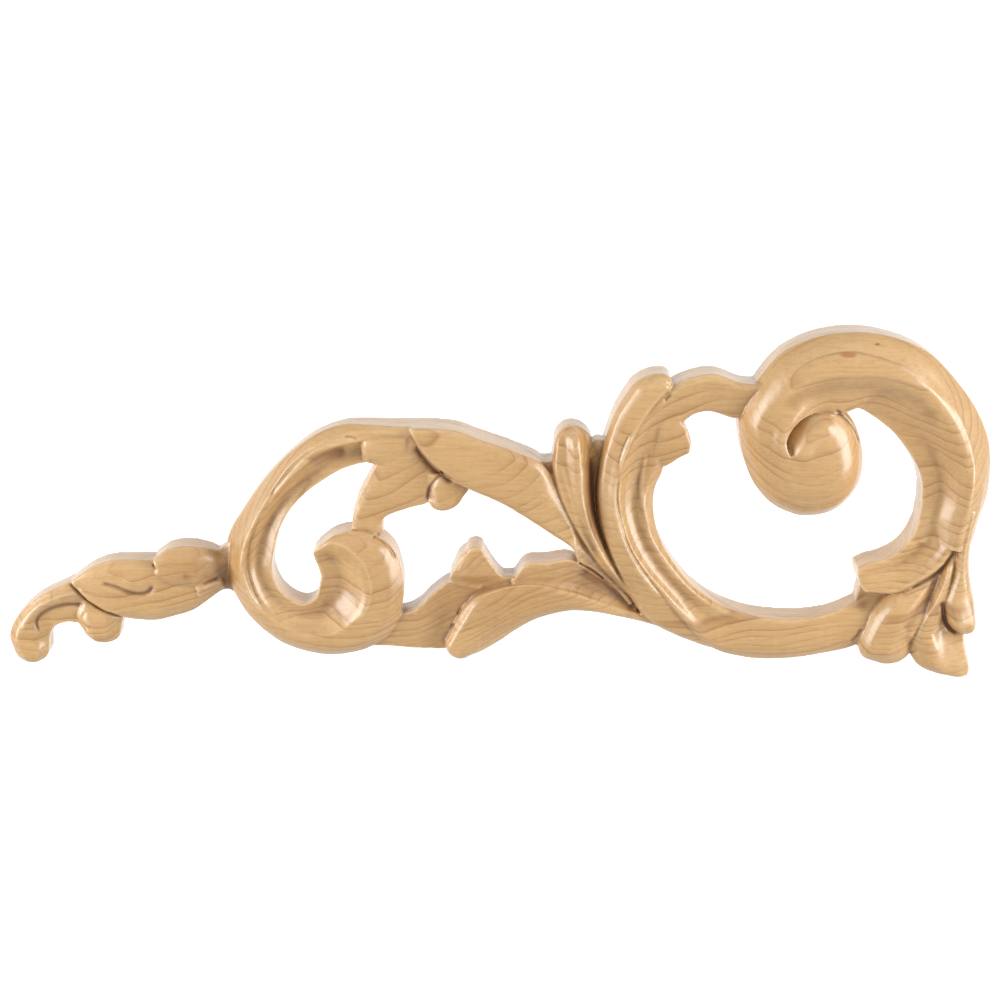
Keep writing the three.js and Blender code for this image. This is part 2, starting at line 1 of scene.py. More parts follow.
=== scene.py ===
"""A carved maple furniture onlay of two C-scrolls, leaves and a tail, seen as it would be fixed."""

import math

import bpy
import numpy as np
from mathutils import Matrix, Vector, kdtree


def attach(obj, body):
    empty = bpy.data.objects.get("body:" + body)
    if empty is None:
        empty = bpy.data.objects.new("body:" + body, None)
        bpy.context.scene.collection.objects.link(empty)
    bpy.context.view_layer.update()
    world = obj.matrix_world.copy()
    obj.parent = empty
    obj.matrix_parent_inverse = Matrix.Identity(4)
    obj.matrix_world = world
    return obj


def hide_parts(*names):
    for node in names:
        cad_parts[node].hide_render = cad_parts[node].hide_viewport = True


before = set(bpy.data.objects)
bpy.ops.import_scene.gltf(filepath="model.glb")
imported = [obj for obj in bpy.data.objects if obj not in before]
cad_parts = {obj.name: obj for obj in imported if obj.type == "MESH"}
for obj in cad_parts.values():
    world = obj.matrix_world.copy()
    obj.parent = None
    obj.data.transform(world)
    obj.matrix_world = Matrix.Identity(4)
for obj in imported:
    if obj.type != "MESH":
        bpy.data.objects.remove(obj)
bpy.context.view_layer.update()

MM = 0.001
LENGTH = 360  # mm from the tail to the great scroll
DEPTH = 21  # mm from the flat back to the highest point
EYE_ANGLE = math.radians(18)  # how far above the onlay the photo was taken

# The drawing of the carving, in millimetres. Each member is drawn by lines across it. `cuts`
# gives both ends of each line: first edge x, z and second edge x, z. `sections` gives the surface
# along some of the lines, by number: share of the way across, height above the flat back.
# `start` and `end` are the lengths of rounded ends.

MEMBERS = {
  # The left scroll: top rail, round the left side and the bottom, up into the hollow volute
  "leftScroll": {
    "cuts": [
      [-26, 16.9, -30, 3.6], [-36, 17, -38, 3], [-46, 17.1, -48.2, 2.9], [-56, 16.7, -57, 0.4],
      [-66.1, 12.9, -63.9, -3.6], [-76.7, 5, -70.7, -8.7], [-86.2, -5.3, -76.3, -14.7],
      [-94, -16.5, -80.4, -22.2], [-99.7, -26.4, -82.4, -29.7], [-101.3, -38, -83.4, -37.5],
      [-96.5, -51.1, -81.1, -44.6], [-88.8, -60.8, -76.6, -49.2], [-78.6, -68, -71.7, -50.9],
      [-62.7, -71.3, -68, -49], [-48.7, -68.3, -66.6, -45.5], [-39.5, -61, -66, -42],
      [-35.7, -50, -65.6, -41], [-36, -38, -66, -39], [-40.2, -27.8, -66.6, -36.6],
      [-51, -22.7, -67.4, -34.2], [-60, -24, -67.9, -32.2], [-66.3, -28.4, -68.3, -31],
    ],
    "sections": {
      1: [[0, 12.5], [0.14, 13.5], [0.3, 12.5], [0.5, 9.5], [0.75, 8.5], [1, 9.5]],
      4: [[0, 7], [0.16, 11.5], [0.36, 14.2], [0.46, 12.8], [0.74, 9.5], [1, 10.5]],
      8: [[0, 4], [0.2, 9.5], [0.4, 14.6], [0.48, 13.4], [0.72, 10.6], [1, 12.6]],
      11: [[0, 9.5], [0.2, 13], [0.42, 14.4], [0.52, 13.4], [0.78, 11.5], [1, 12.6]],
      14: [[0, 11.5], [0.18, 15.6], [0.42, 16.2], [0.52, 14], [0.78, 9], [1, 10]],
      18: [[0, 12], [0.2, 15.4], [0.45, 16], [0.55, 14.4], [0.8, 10.5], [1, 11]],
      20: [[0, 12.4], [0.2, 13.5], [0.45, 14], [0.55, 13.8], [0.8, 13], [1, 12]],
    },
  },

  # The leaf that hangs from the top rail behind the long leaf, down to the volute
  "hangingLeaf": {
    "cuts": [
      [-54, -23, -42.6, -24], [-53.4, -17, -42.4, -18.6], [-51.4, -9.9, -33, -14.3],
      [-48.3, -4, -26.6, -12.4], [-45, 2, -21, -7], [-40, 9, -17, 0], [-34, 14.5, -20, 10],
    ],
    "sections": {
      0: [[0, 10], [0.25, 11], [0.7, 11], [1, 9.5]],
      3: [[0, 11], [0.2, 12.4], [0.7, 11.2], [1, 10.2]],
      6: [[0, 12.6], [0.25, 13], [0.7, 11], [1, 9.6]],
    },
  },
  "hangingLobe": {
    "cuts": [[-33, 15, -35, 3], [-41, 15, -42, 1.8], [-47, 14.2, -46.8, 2.8]],
    "end": 3,
    "sections": {
      0: [[0, 12.4], [0.3, 13.4], [0.7, 13], [1, 11.4]],
      2: [[0, 12], [0.3, 13.6], [0.7, 13.2], [1, 10.5]],
    },
  },
  "hangingTip": {
    "cuts": [[-27, -1, -11, -1], [-26, -6, -11, -6.6], [-25.4, -10.8, -13.8, -10.8]],
    "end": 4.8,
    "sections": {
      0: [[0, 11], [0.3, 12.6], [0.7, 11.5], [1, 9]],
      2: [[0, 10.4], [0.3, 12.4], [0.7, 12], [1, 9.6]],
    },
  },

  # The long middle leaf, from its overhanging tip on the top rail down to the root of the fan
  "longLeaf": {
    "cuts": [
      [-32, 17, -31.4, 14.4], [-24, 16.9, -27.5, 7], [-15.8, 16, -21, 0], [-6, 12.4, -11, -5.8],
      [5.1, 8.4, 1.1, -11.4], [14, 4.2, 11, -17.8], [19.5, -3, 20, -24.3], [25.5, -15, 26.6, -29.2],
      [30, -24, 28.4, -33.8], [37.5, -36.4, 36, -39.2], [50, -51.5, 48, -52.6],
    ],
    "sections": {
      0: [[0, 15], [0.15, 16], [0.5, 16.2], [0.85, 16], [1, 15]],
      4: [[0, 14.4], [0.12, 16.2], [0.5, 16.8], [0.88, 16], [1, 14.6]],
      7: [[0, 11.5], [0.2, 12.6], [0.5, 14], [0.85, 14.4], [1, 12.6]],
      10: [[0, 8.5], [0.2, 9], [0.5, 9.6], [0.85, 9.6], [1, 9]],
    },
  },

  # The fan between the two scrolls: a tall ridged lobe, and a bud behind it
  "fanLobe": {
    "cuts": [
      [19.4, 8.8, 33.4, 9.4], [18.8, 2, 35.6, 2], [21, -8, 35.6, -8], [25.5, -18, 36.6, -18],
      [30.5, -27, 39.6, -28], [36, -35.5, 44.4, -38], [43, -43.5, 50, -47.5], [52, -53, 55, -56],
    ],
    "start": 7.8,
    "sections": {
      0: [[0, 12], [0.08, 14], [0.28, 14.6], [0.56, 17], [0.66, 16.4], [0.86, 10.8], [1, 9.5]],
      3: [[0, 12.6], [0.1, 14.2], [0.28, 14.8], [0.56, 17], [0.66, 16], [0.86, 9.8], [1, 8.4]],
      7: [[0, 9], [0.1, 10], [0.28, 10.4], [0.56, 11], [0.66, 10.8], [0.86, 9], [1, 8]],
    },
  },
  "fanBud": {
    "cuts": [[33.4, -4, 38.4, -4], [33.4, 8.6, 37.8, 8.6]],
    "end": 2.2,
    "sections": { 0: [[0, 7.5], [0.3, 9], [0.7, 9], [1, 7.5]] },
  },
  "fanWeb": {
    "cuts": [[11, 5.8, 12, -6], [16, 3.4, 17, -8], [21, 4.6, 22, -8]],
    "sections": { 0: [[0, 11], [0.5, 11.4], [1, 11]] },
  },

  # The great C: an outer leaf with a curled tip, and the fluted stem inside it
  "outerLeaf": {
    "cuts": [
      [46.5, 31.4, 60, 31], [41, 22, 52.6, 22], [37.8, 12, 46.8, 11], [35.8, 2, 43.2, 1],
      [35, -9, 42, -9], [36.3, -20, 43.8, -20], [39.8, -31, 48, -30], [45.5, -43, 54.5, -40.5],
      [53.3, -56.4, 62, -48], [63, -62.9, 71, -53], [75.8, -68.3, 79, -57], [88, -72, 90, -61],
    ],
    "start": 6.4,
    "sections": {
      0: [[0, 11], [0.15, 14.4], [0.5, 16.2], [0.88, 15.8], [1, 13.6]],
      3: [[0, 11.5], [0.15, 14.4], [0.5, 15.6], [0.9, 16.9], [1, 16]],
      6: [[0, 11.5], [0.15, 14], [0.5, 15.2], [0.9, 16.6], [1, 15.6]],
      10: [[0, 9.5], [0.15, 11.5], [0.5, 12.4], [0.9, 12.6], [1, 11.6]],
      11: [[0, 9], [0.15, 10.4], [0.5, 11], [0.9, 11], [1, 10.4]],
    },
  },
  "greatStem": {
    "cuts": [
      [93, 32.6, 91, 20], [86.2, 33, 83.6, 19.5], [75.5, 36.4, 75, 22], [65, 34, 69.2, 20.8],
      [56, 28, 63.5, 15], [48, 18, 59.8, 6.8], [43.5, 7.5, 58.6, -0.8], [41.2, -4, 56.3, -7],
      [41.5, -15, 55.8, -14], [45, -26, 57.7, -24.4], [51, -36, 63.1, -34.6],
      [59.5, -46, 70.3, -43.6], [68, -57, 79.4, -50.4], [79.1, -68.7, 89.8, -54.6],
      [91.6, -72.8, 99.4, -56.4], [105.6, -73.4, 110.2, -56.9], [119.8, -71.6, 121, -55.4],
      [133, -68, 131, -51.3], [147, -58, 141, -45],
    ],
    "sections": {
      0: [[0, 12.5], [0.12, 13.4], [0.35, 12.6], [0.6, 11.6], [0.82, 11], [1, 10]],
      4: [[0, 13.4], [0.12, 14.2], [0.35, 12.8], [0.6, 12], [0.82, 11.8], [1, 10]],
      8: [[0, 15.6], [0.08, 16.2], [0.3, 13], [0.52, 11.6], [0.74, 12.4], [1, 8]],
      11: [[0, 15], [0.08, 15.4], [0.3, 13], [0.55, 12], [0.85, 12.8], [1, 11]],
      14: [[0, 10], [0.2, 12.6], [0.42, 13.4], [0.65, 13.2], [0.92, 13.4], [1, 12.8]],
      17: [[0, 9], [0.2, 10.8], [0.42, 11.4], [0.65, 11.2], [0.92, 10.6], [1, 10.2]],
      18: [[0, 9], [0.2, 9.6], [0.42, 9.6], [0.65, 9], [0.92, 8.4], [1, 8]],
    },
  },
  "stemWeb": {
    "cuts": [[40, -37, 40, -50], [50, -37, 50, -56], [62, -44, 62, -58]],
    "sections": { 0: [[0, 7.5], [0.5, 8], [1, 7.5]] },
  },
  "stemSpur": {
    "cuts": [[58, 20.5, 54, 0], [63.4, 19, 60, 1.6], [67, 15.6, 65, 4.8], [68.6, 11.2, 68.1, 6.4]],
    "sections": {
      0: [[0, 12], [0.3, 12.4], [0.7, 12], [1, 10]],
      3: [[0, 10.6], [0.3, 11.4], [0.7, 11.2], [1, 10]],
    },
  },

  # The great scroll: up the right side, over the top and down round the eye of its volute
  "greatScroll": {
    "cuts": [
      [172.2, -30, 153, -27], [174.7, -19, 152.1, -18], [177, -9, 153, -9],
      [177.4, 1, 150.8, 0.5], [175.8, 11, 144.8, 10], [170.6, 22.4, 139.6, 15.8],
      [162.5, 33.3, 133.6, 20.4], [151.8, 43.6, 127.6, 23.6], [138.5, 49.6, 122.6, 22.4],
      [125, 51.5, 117.5, 22.3], [111.5, 49.6, 111.5, 22.8], [99.8, 43.7, 106.5, 20.8],
      [91.5, 33.5, 103.3, 17.5], [85.6, 22, 101.6, 13], [86.3, 11, 103, 8.4],
      [88.6, 2.4, 106, 6], [92.8, -6.6, 109, 4.4], [99.3, -13.5, 111.4, 3.8],
      [107.2, -17.3, 112.6, 3.6],
    ],
    "sections": {
      0: [[0, 9], [0.16, 14], [0.34, 16.6], [0.5, 15], [0.76, 11.2], [1, 12]],
      3: [[0, 8], [0.16, 14], [0.36, 18], [0.5, 16.4], [0.76, 11.6], [1, 12]],
      6: [[0, 9], [0.16, 15], [0.34, 19], [0.52, 17.6], [0.76, 13.6], [1, 11.5]],
      9: [[0, 12.5], [0.12, 16.6], [0.32, 20], [0.56, 18.8], [0.8, 16], [1, 14.6]],
      12: [[0, 10], [0.18, 16], [0.42, 19.2], [0.64, 19.8], [0.86, 20.4], [1, 19.4]],
      13: [[0, 9], [0.18, 14.6], [0.4, 17.8], [0.64, 18.6], [0.88, 20.6], [1, 20]],
      15: [[0, 8], [0.18, 13.2], [0.4, 16.8], [0.64, 18.6], [0.86, 19.4], [1, 19.5]],
      18: [[0, 8], [0.14, 12.6], [0.32, 16], [0.56, 18.4], [0.8, 19.3], [1, 19.5]],
    },
  },
  "voluteBall": {
    "cuts": [
      [103.2, -15.6, 112, 3.6], [115.3, -17.5, 113.2, 3.8], [123.5, -14.3, 113.6, 4],
      [129.6, -6.1, 113.8, 4.4], [131, 3, 113.6, 5], [129.4, 12, 113, 6], [125.6, 19.6, 112, 7.4],
      [118.6, 24.6, 110.6, 8.4], [110.4, 25, 109, 8.6], [104, 20.8, 107.4, 8.2],
      [101, 13.6, 106.4, 7], [100.6, 8, 106, 5.6],
    ],
    "sections": {
      0: [[0, 8], [0.14, 12.4], [0.32, 15.8], [0.54, 18.2], [0.78, 19.2], [1, 19.5]],
      6: [[0, 9], [0.14, 13.6], [0.32, 16.6], [0.54, 18.4], [0.78, 19.2], [1, 19.5]],
      8: [[0, 13.4], [0.14, 14.4], [0.32, 16], [0.54, 18], [0.78, 19.2], [1, 19.5]],
      9: [[0, 13], [0.2, 13.6], [0.4, 15.8], [0.6, 17.8], [0.8, 19.1], [1, 19.5]],
      10: [[0, 14], [0.2, 15], [0.4, 16.6], [0.6, 18.2], [0.8, 19.1], [1, 19.5]],
      11: [[0, 19], [0.2, 19.2], [0.4, 19.3], [0.6, 19.4], [0.8, 19.5], [1, 19.5]],
    },
  },
  "voluteEye": {
    "cuts": [
      [103, 5, 103, 8], [106, 3.4, 106.4, 9], [109.6, 2.6, 110, 9.4], [113, 2.4, 113.6, 8],
      [115.4, 3.4, 115.4, 6],
    ],
    "sections": { 0: [[0, 19.3], [0.5, 19.5], [1, 19.3]] },
  },

  # The foot of the great scroll: a hollow lip, two broad lobes and the drop outside them
  "footLip": {
    "cuts": [
      [168.4, -8, 152.6, -6], [168, -18, 152.6, -15.1], [165.4, -28, 150.8, -22.6],
      [161, -35.6, 146.3, -29.5], [154, -41.6, 139.9, -33.3], [145, -46.2, 134.4, -34.9],
      [134, -46, 131, -36.6],
    ],
    "end": 0.9,
    "sections": {
      0: [[0, 15.4], [0.12, 15.6], [0.35, 13.4], [0.65, 11.4], [0.9, 11.6], [1, 11.4]],
      3: [[0, 13.4], [0.12, 14.8], [0.35, 12.4], [0.65, 11], [0.9, 12.4], [1, 12.4]],
      6: [[0, 12.6], [0.12, 13.6], [0.35, 13.2], [0.65, 13.2], [0.9, 13.4], [1, 12.6]],
    },
  },
  "footWeb": {
    "cuts": [
      [132.8, -44, 130.8, -56], [140, -40, 140, -62], [150, -36, 150, -66],
      [160, -30, 160, -67], [170, -20, 169, -66],
    ],
    "sections": { 0: [[0, 8], [0.5, 8.5], [1, 8]] },
  },
  "footLobeLeft": {
    "cuts": [
      [160, -36, 165, -33], [152, -42.6, 162, -43], [144, -47, 159.6, -50],
      [138.2, -53.5, 156.8, -57], [134.8, -60.5, 154.2, -63.5], [133.2, -67.4, 152.8, -69.4],
      [134.8, -72.2, 151.6, -72.2], [141, -75, 148.8, -74.6],
    ],
    "sections": {
      0: [[0, 11], [0.1, 11.4], [0.24, 11.6], [0.5, 11.4], [0.75, 11], [1, 10]],
      3: [[0, 11], [0.1, 13.6], [0.24, 15.6], [0.5, 15.8], [0.75, 13.8], [1, 10.4]],
      5: [[0, 10.6], [0.1, 13.4], [0.24, 15.2], [0.5, 15.4], [0.75, 13.6], [1, 10.4]],
      7: [[0, 10], [0.1, 10.8], [0.24, 11.6], [0.5, 11.8], [0.75, 11.4], [1, 10.2]],
    },
  },
  "footLobeRight": {
    "cuts": [
      [163.6, -30, 169, -30], [161, -42, 169, -42], [157, -52, 171, -53],
      [153.4, -61, 171.8, -62], [151.8, -68.4, 172.7, -68.4], [155.2, -75, 174.1, -73.4],
      [161.6, -78.6, 174.7, -77.4], [168, -80.2, 174.4, -79.6],
    ],
    "sections": {
      0: [[0, 12], [0.2, 13], [0.36, 13.4], [0.56, 13], [0.8, 12.4], [1, 12]],
      1: [[0, 11.4], [0.2, 14], [0.36, 14.2], [0.56, 12.4], [0.8, 11.4], [1, 11]],
      3: [[0, 10.8], [0.16, 14.2], [0.3, 14], [0.56, 11], [0.8, 10.6], [1, 10.6]],
      4: [[0, 10.6], [0.16, 13.6], [0.4, 14.8], [0.6, 13.4], [0.82, 12.2], [1, 11.4]],
      5: [[0, 10.6], [0.16, 13.2], [0.36, 14.6], [0.6, 13.6], [0.82, 12.6], [1, 11.6]],
      7: [[0, 10.6], [0.16, 11.4], [0.36, 12.2], [0.6, 12.4], [0.82, 12], [1, 11.2]],
    },
  },
  "footDrop": {
    "cuts": [
      [168, -14, 175.7, -14], [166.8, -28, 172.4, -28], [166, -38, 172.3, -38],
      [164, -44.6, 173.6, -45], [162.8, -50, 174.9, -50.6], [164.8, -56.4, 176, -57.4],
    ],
    "end": 6.2,
    "sections": {
      0: [[0, 15.4], [0.14, 15.8], [0.34, 16], [0.6, 14.4], [0.86, 11], [1, 9]],
      3: [[0, 12.6], [0.14, 14.4], [0.34, 15.8], [0.6, 15.4], [0.86, 13.4], [1, 9.6]],
      5: [[0, 12.4], [0.14, 15], [0.34, 16.4], [0.6, 15.6], [0.86, 14.4], [1, 10.5]],
    },
  },

  # Between the scrolls below: a low leaf with a peaked lobe, the broad leaf over it, its flute
  "lowLeaf": {
    "cuts": [
      [-41, -56, -47.4, -68.2], [-34.2, -54.4, -40.6, -68.3], [-30.1, -52.2, -33.2, -69],
      [-24.4, -46.7, -27.1, -69.4], [-18, -42.4, -20.2, -69.7], [-9, -41.4, -12, -66],
      [5.6, -40.8, 1, -58],
    ],
    "sections": {
      0: [[0, 11], [0.3, 11.4], [0.7, 11], [1, 10]],
      2: [[0, 12.4], [0.3, 11.8], [0.7, 11], [1, 10]],
      4: [[0, 10.8], [0.3, 9.6], [0.7, 9.2], [1, 9]],
      6: [[0, 10.5], [0.3, 10.5], [0.7, 10.5], [1, 10]],
    },
  },
  "peakLobe": {
    "cuts": [
      [-18, -47, 0, -47], [-18.4, -41.4, 2, -42], [-17, -37.4, -0.6, -39], [-15, -33, -4, -34],
      [-12, -30.2, -6, -30.6],
    ],
    "end": 2,
    "sections": {
      0: [[0, 9.4], [0.25, 9.6], [0.6, 9.4], [1, 9]],
      2: [[0, 12.4], [0.25, 14], [0.6, 12.6], [1, 10.8]],
      4: [[0, 12.4], [0.25, 13.2], [0.6, 13], [1, 12.4]],
    },
  },
  "broadLeaf": {
    "cuts": [
      [-19.2, -64.5, -11.4, -72.2], [-17, -59.6, -6.9, -70.2], [-14, -53.3, -0.9, -66.5],
      [-9.3, -48, 5.4, -62], [-2, -44.8, 12, -58], [6, -43, 19, -55.3], [15, -43, 26.6, -54],
      [26, -45.8, 34.5, -54.6], [37, -50, 43.5, -56.5], [50, -55, 54.6, -59.4],
      [58, -57, 63, -62.4],
    ],
    "start": 4.4,
    "sections": {
      0: [[0, 12.4], [0.18, 14.6], [0.5, 15], [0.82, 13.4], [1, 10.4]],
      3: [[0, 14], [0.18, 16], [0.5, 15.4], [0.82, 13.4], [1, 10.6]],
      6: [[0, 13.4], [0.18, 14], [0.5, 13.6], [0.82, 12.6], [1, 10.8]],
      9: [[0, 10], [0.18, 10.4], [0.5, 10.6], [0.82, 10.4], [1, 9.6]],
      10: [[0, 9], [0.18, 9.4], [0.5, 9.6], [0.82, 9.6], [1, 9]],
    },
  },
  "leafFlute": {
    "cuts": [
      [5.4, -40.6, 3.6, -44.6], [9.6, -35.3, 9, -44.6], [17, -34.6, 17, -44.6],
      [25.5, -33.7, 25, -47], [31, -37, 33, -49.6], [39, -43, 42, -52.6], [50, -52, 51, -56],
    ],
    "sections": {
      0: [[0, 12], [0.3, 12], [0.65, 12], [1, 12.6]],
      2: [[0, 12.6], [0.3, 12.4], [0.65, 11.8], [1, 13]],
      4: [[0, 11.4], [0.3, 9.4], [0.65, 9], [1, 12]],
      6: [[0, 9], [0.3, 8.5], [0.65, 8.5], [1, 9.6]],
    },
  },

  # The tail: a folded leaf on a narrow neck, a knuckle over it, and a curl with a ball under it
  "tailLeaf": {
    "cuts": [
      [-157.6, -42.6, -157, -44], [-151, -38, -151.6, -50], [-144, -35.2, -144, -54.6],
      [-136, -34.6, -136, -57.5], [-128, -34.6, -128, -58.6], [-121, -33.4, -121, -57.2],
      [-113.5, -32, -113, -54.5], [-106, -32.8, -106, -49.3], [-100.8, -30, -100.4, -47.6],
      [-94, -19, -92, -56],
    ],
    "sections": {
      0: [[0, 10.4], [0.2, 11], [0.5, 11.2], [0.8, 11.2], [1, 10.8]],
      2: [[0, 9.6], [0.2, 11.8], [0.5, 13], [0.8, 12.8], [1, 11.6]],
      4: [[0, 9.6], [0.2, 12.4], [0.5, 12.2], [0.8, 11.6], [1, 8.6]],
      6: [[0, 9], [0.2, 10.6], [0.5, 11], [0.8, 10.2], [1, 7.6]],
      8: [[0, 6], [0.2, 7], [0.5, 7.2], [0.8, 6.6], [1, 5.6]],
    },
  },
  "tailKnuckle": {
    "cuts": [
      [-126.7, -33.7, -125.6, -40.4], [-121.6, -30.2, -120.6, -44], [-114.5, -29.1, -113.4, -45],
      [-107, -30.6, -106.4, -43.4], [-101, -34, -101, -41],
    ],
    "sections": {
      0: [[0, 11.6], [0.3, 13], [0.7, 13], [1, 12]],
      2: [[0, 10.4], [0.3, 13.4], [0.7, 13.2], [1, 10.6]],
      4: [[0, 6.4], [0.3, 7.6], [0.7, 7.6], [1, 6.4]],
    },
  },
  "tailTuck": {
    "cuts": [
      [-112, -41, -110.4, -52.6], [-107, -41.6, -106.1, -49.4], [-103.4, -42, -102.9, -47.2],
    ],
    "end": 1.4,
    "sections": {
      0: [[0, 9.6], [0.4, 11.4], [1, 8.4]],
      2: [[0, 7.4], [0.4, 9.6], [1, 7.4]],
    },
  },
  "tailCurl": {
    "cuts": [
      [-146, -37.6, -146, -57], [-155.2, -41.9, -155, -59.8], [-163.3, -45.6, -161, -59.4],
      [-171.6, -50, -164.4, -60.4], [-178.8, -57, -166.4, -62.2], [-182.3, -64.8, -167.8, -65.6],
      [-181.2, -70.6, -168.2, -69.8],
    ],
    "end": 5.4,
    "sections": {
      0: [[0, 8.4], [0.25, 9.4], [0.6, 8.2], [1, 7.8]],
      3: [[0, 9], [0.25, 11], [0.6, 9], [1, 9]],
      5: [[0, 8], [0.25, 11], [0.6, 11], [1, 8]],
      6: [[0, 8], [0.3, 11.2], [0.7, 11.4], [1, 8]],
    },
  },
  "tailBall": {
    "cuts": [
      [-157.8, -51, -138.6, -51], [-157.4, -58.2, -140, -58], [-155, -62.9, -141.3, -63.3],
    ],
    "end": 4.8,
    "sections": {
      0: [[0, 7.5], [0.25, 9], [0.6, 8.6], [1, 7]],
      1: [[0, 7.5], [0.25, 10.6], [0.6, 10.8], [1, 7.5]],
      2: [[0, 7.5], [0.25, 10.6], [0.6, 10.6], [1, 7.5]],
    },
  },

  # A shallow valley where the low leaf meets the root of the fan
  "rootFill": {
    "cuts": [[30.4, -34.9, 28.9, -36.9], [34.5, -37.2, 33.1, -40.4], [38.7, -40.6, 37, -43.4]],
    "sections": {0: [[0, 9.8], [0.5, 9.4], [1, 9.6]], 2: [[0, 9.8], [0.5, 9], [1, 9.4]]},
  },

  # Where the ball of the great scroll closes on itself
  "ballSeam": {
    "cuts": [[103.2, -15.7, 112, 3.6], [109.2, -17.7, 112.6, 3.6], [115.3, -17.5, 113.2, 3.8]],
    "sections": {0: [[0, 8.2], [0.14, 12.8], [0.32, 16.1], [0.54, 18.3], [0.78, 19.3], [1, 19.6]]},
  },
}

# What the small gouges add, laid out as it is seen: on a plane 13 mm in front of the back, from
# 18 degrees above. Each stroke is its depth in mm (a raised bead where it is negative), its half
# width in mm, and its points x, z. A stroke runs out softly at both ends.

EYE_LEVEL = 13
EYE_SLOPE = math.tan(EYE_ANGLE)

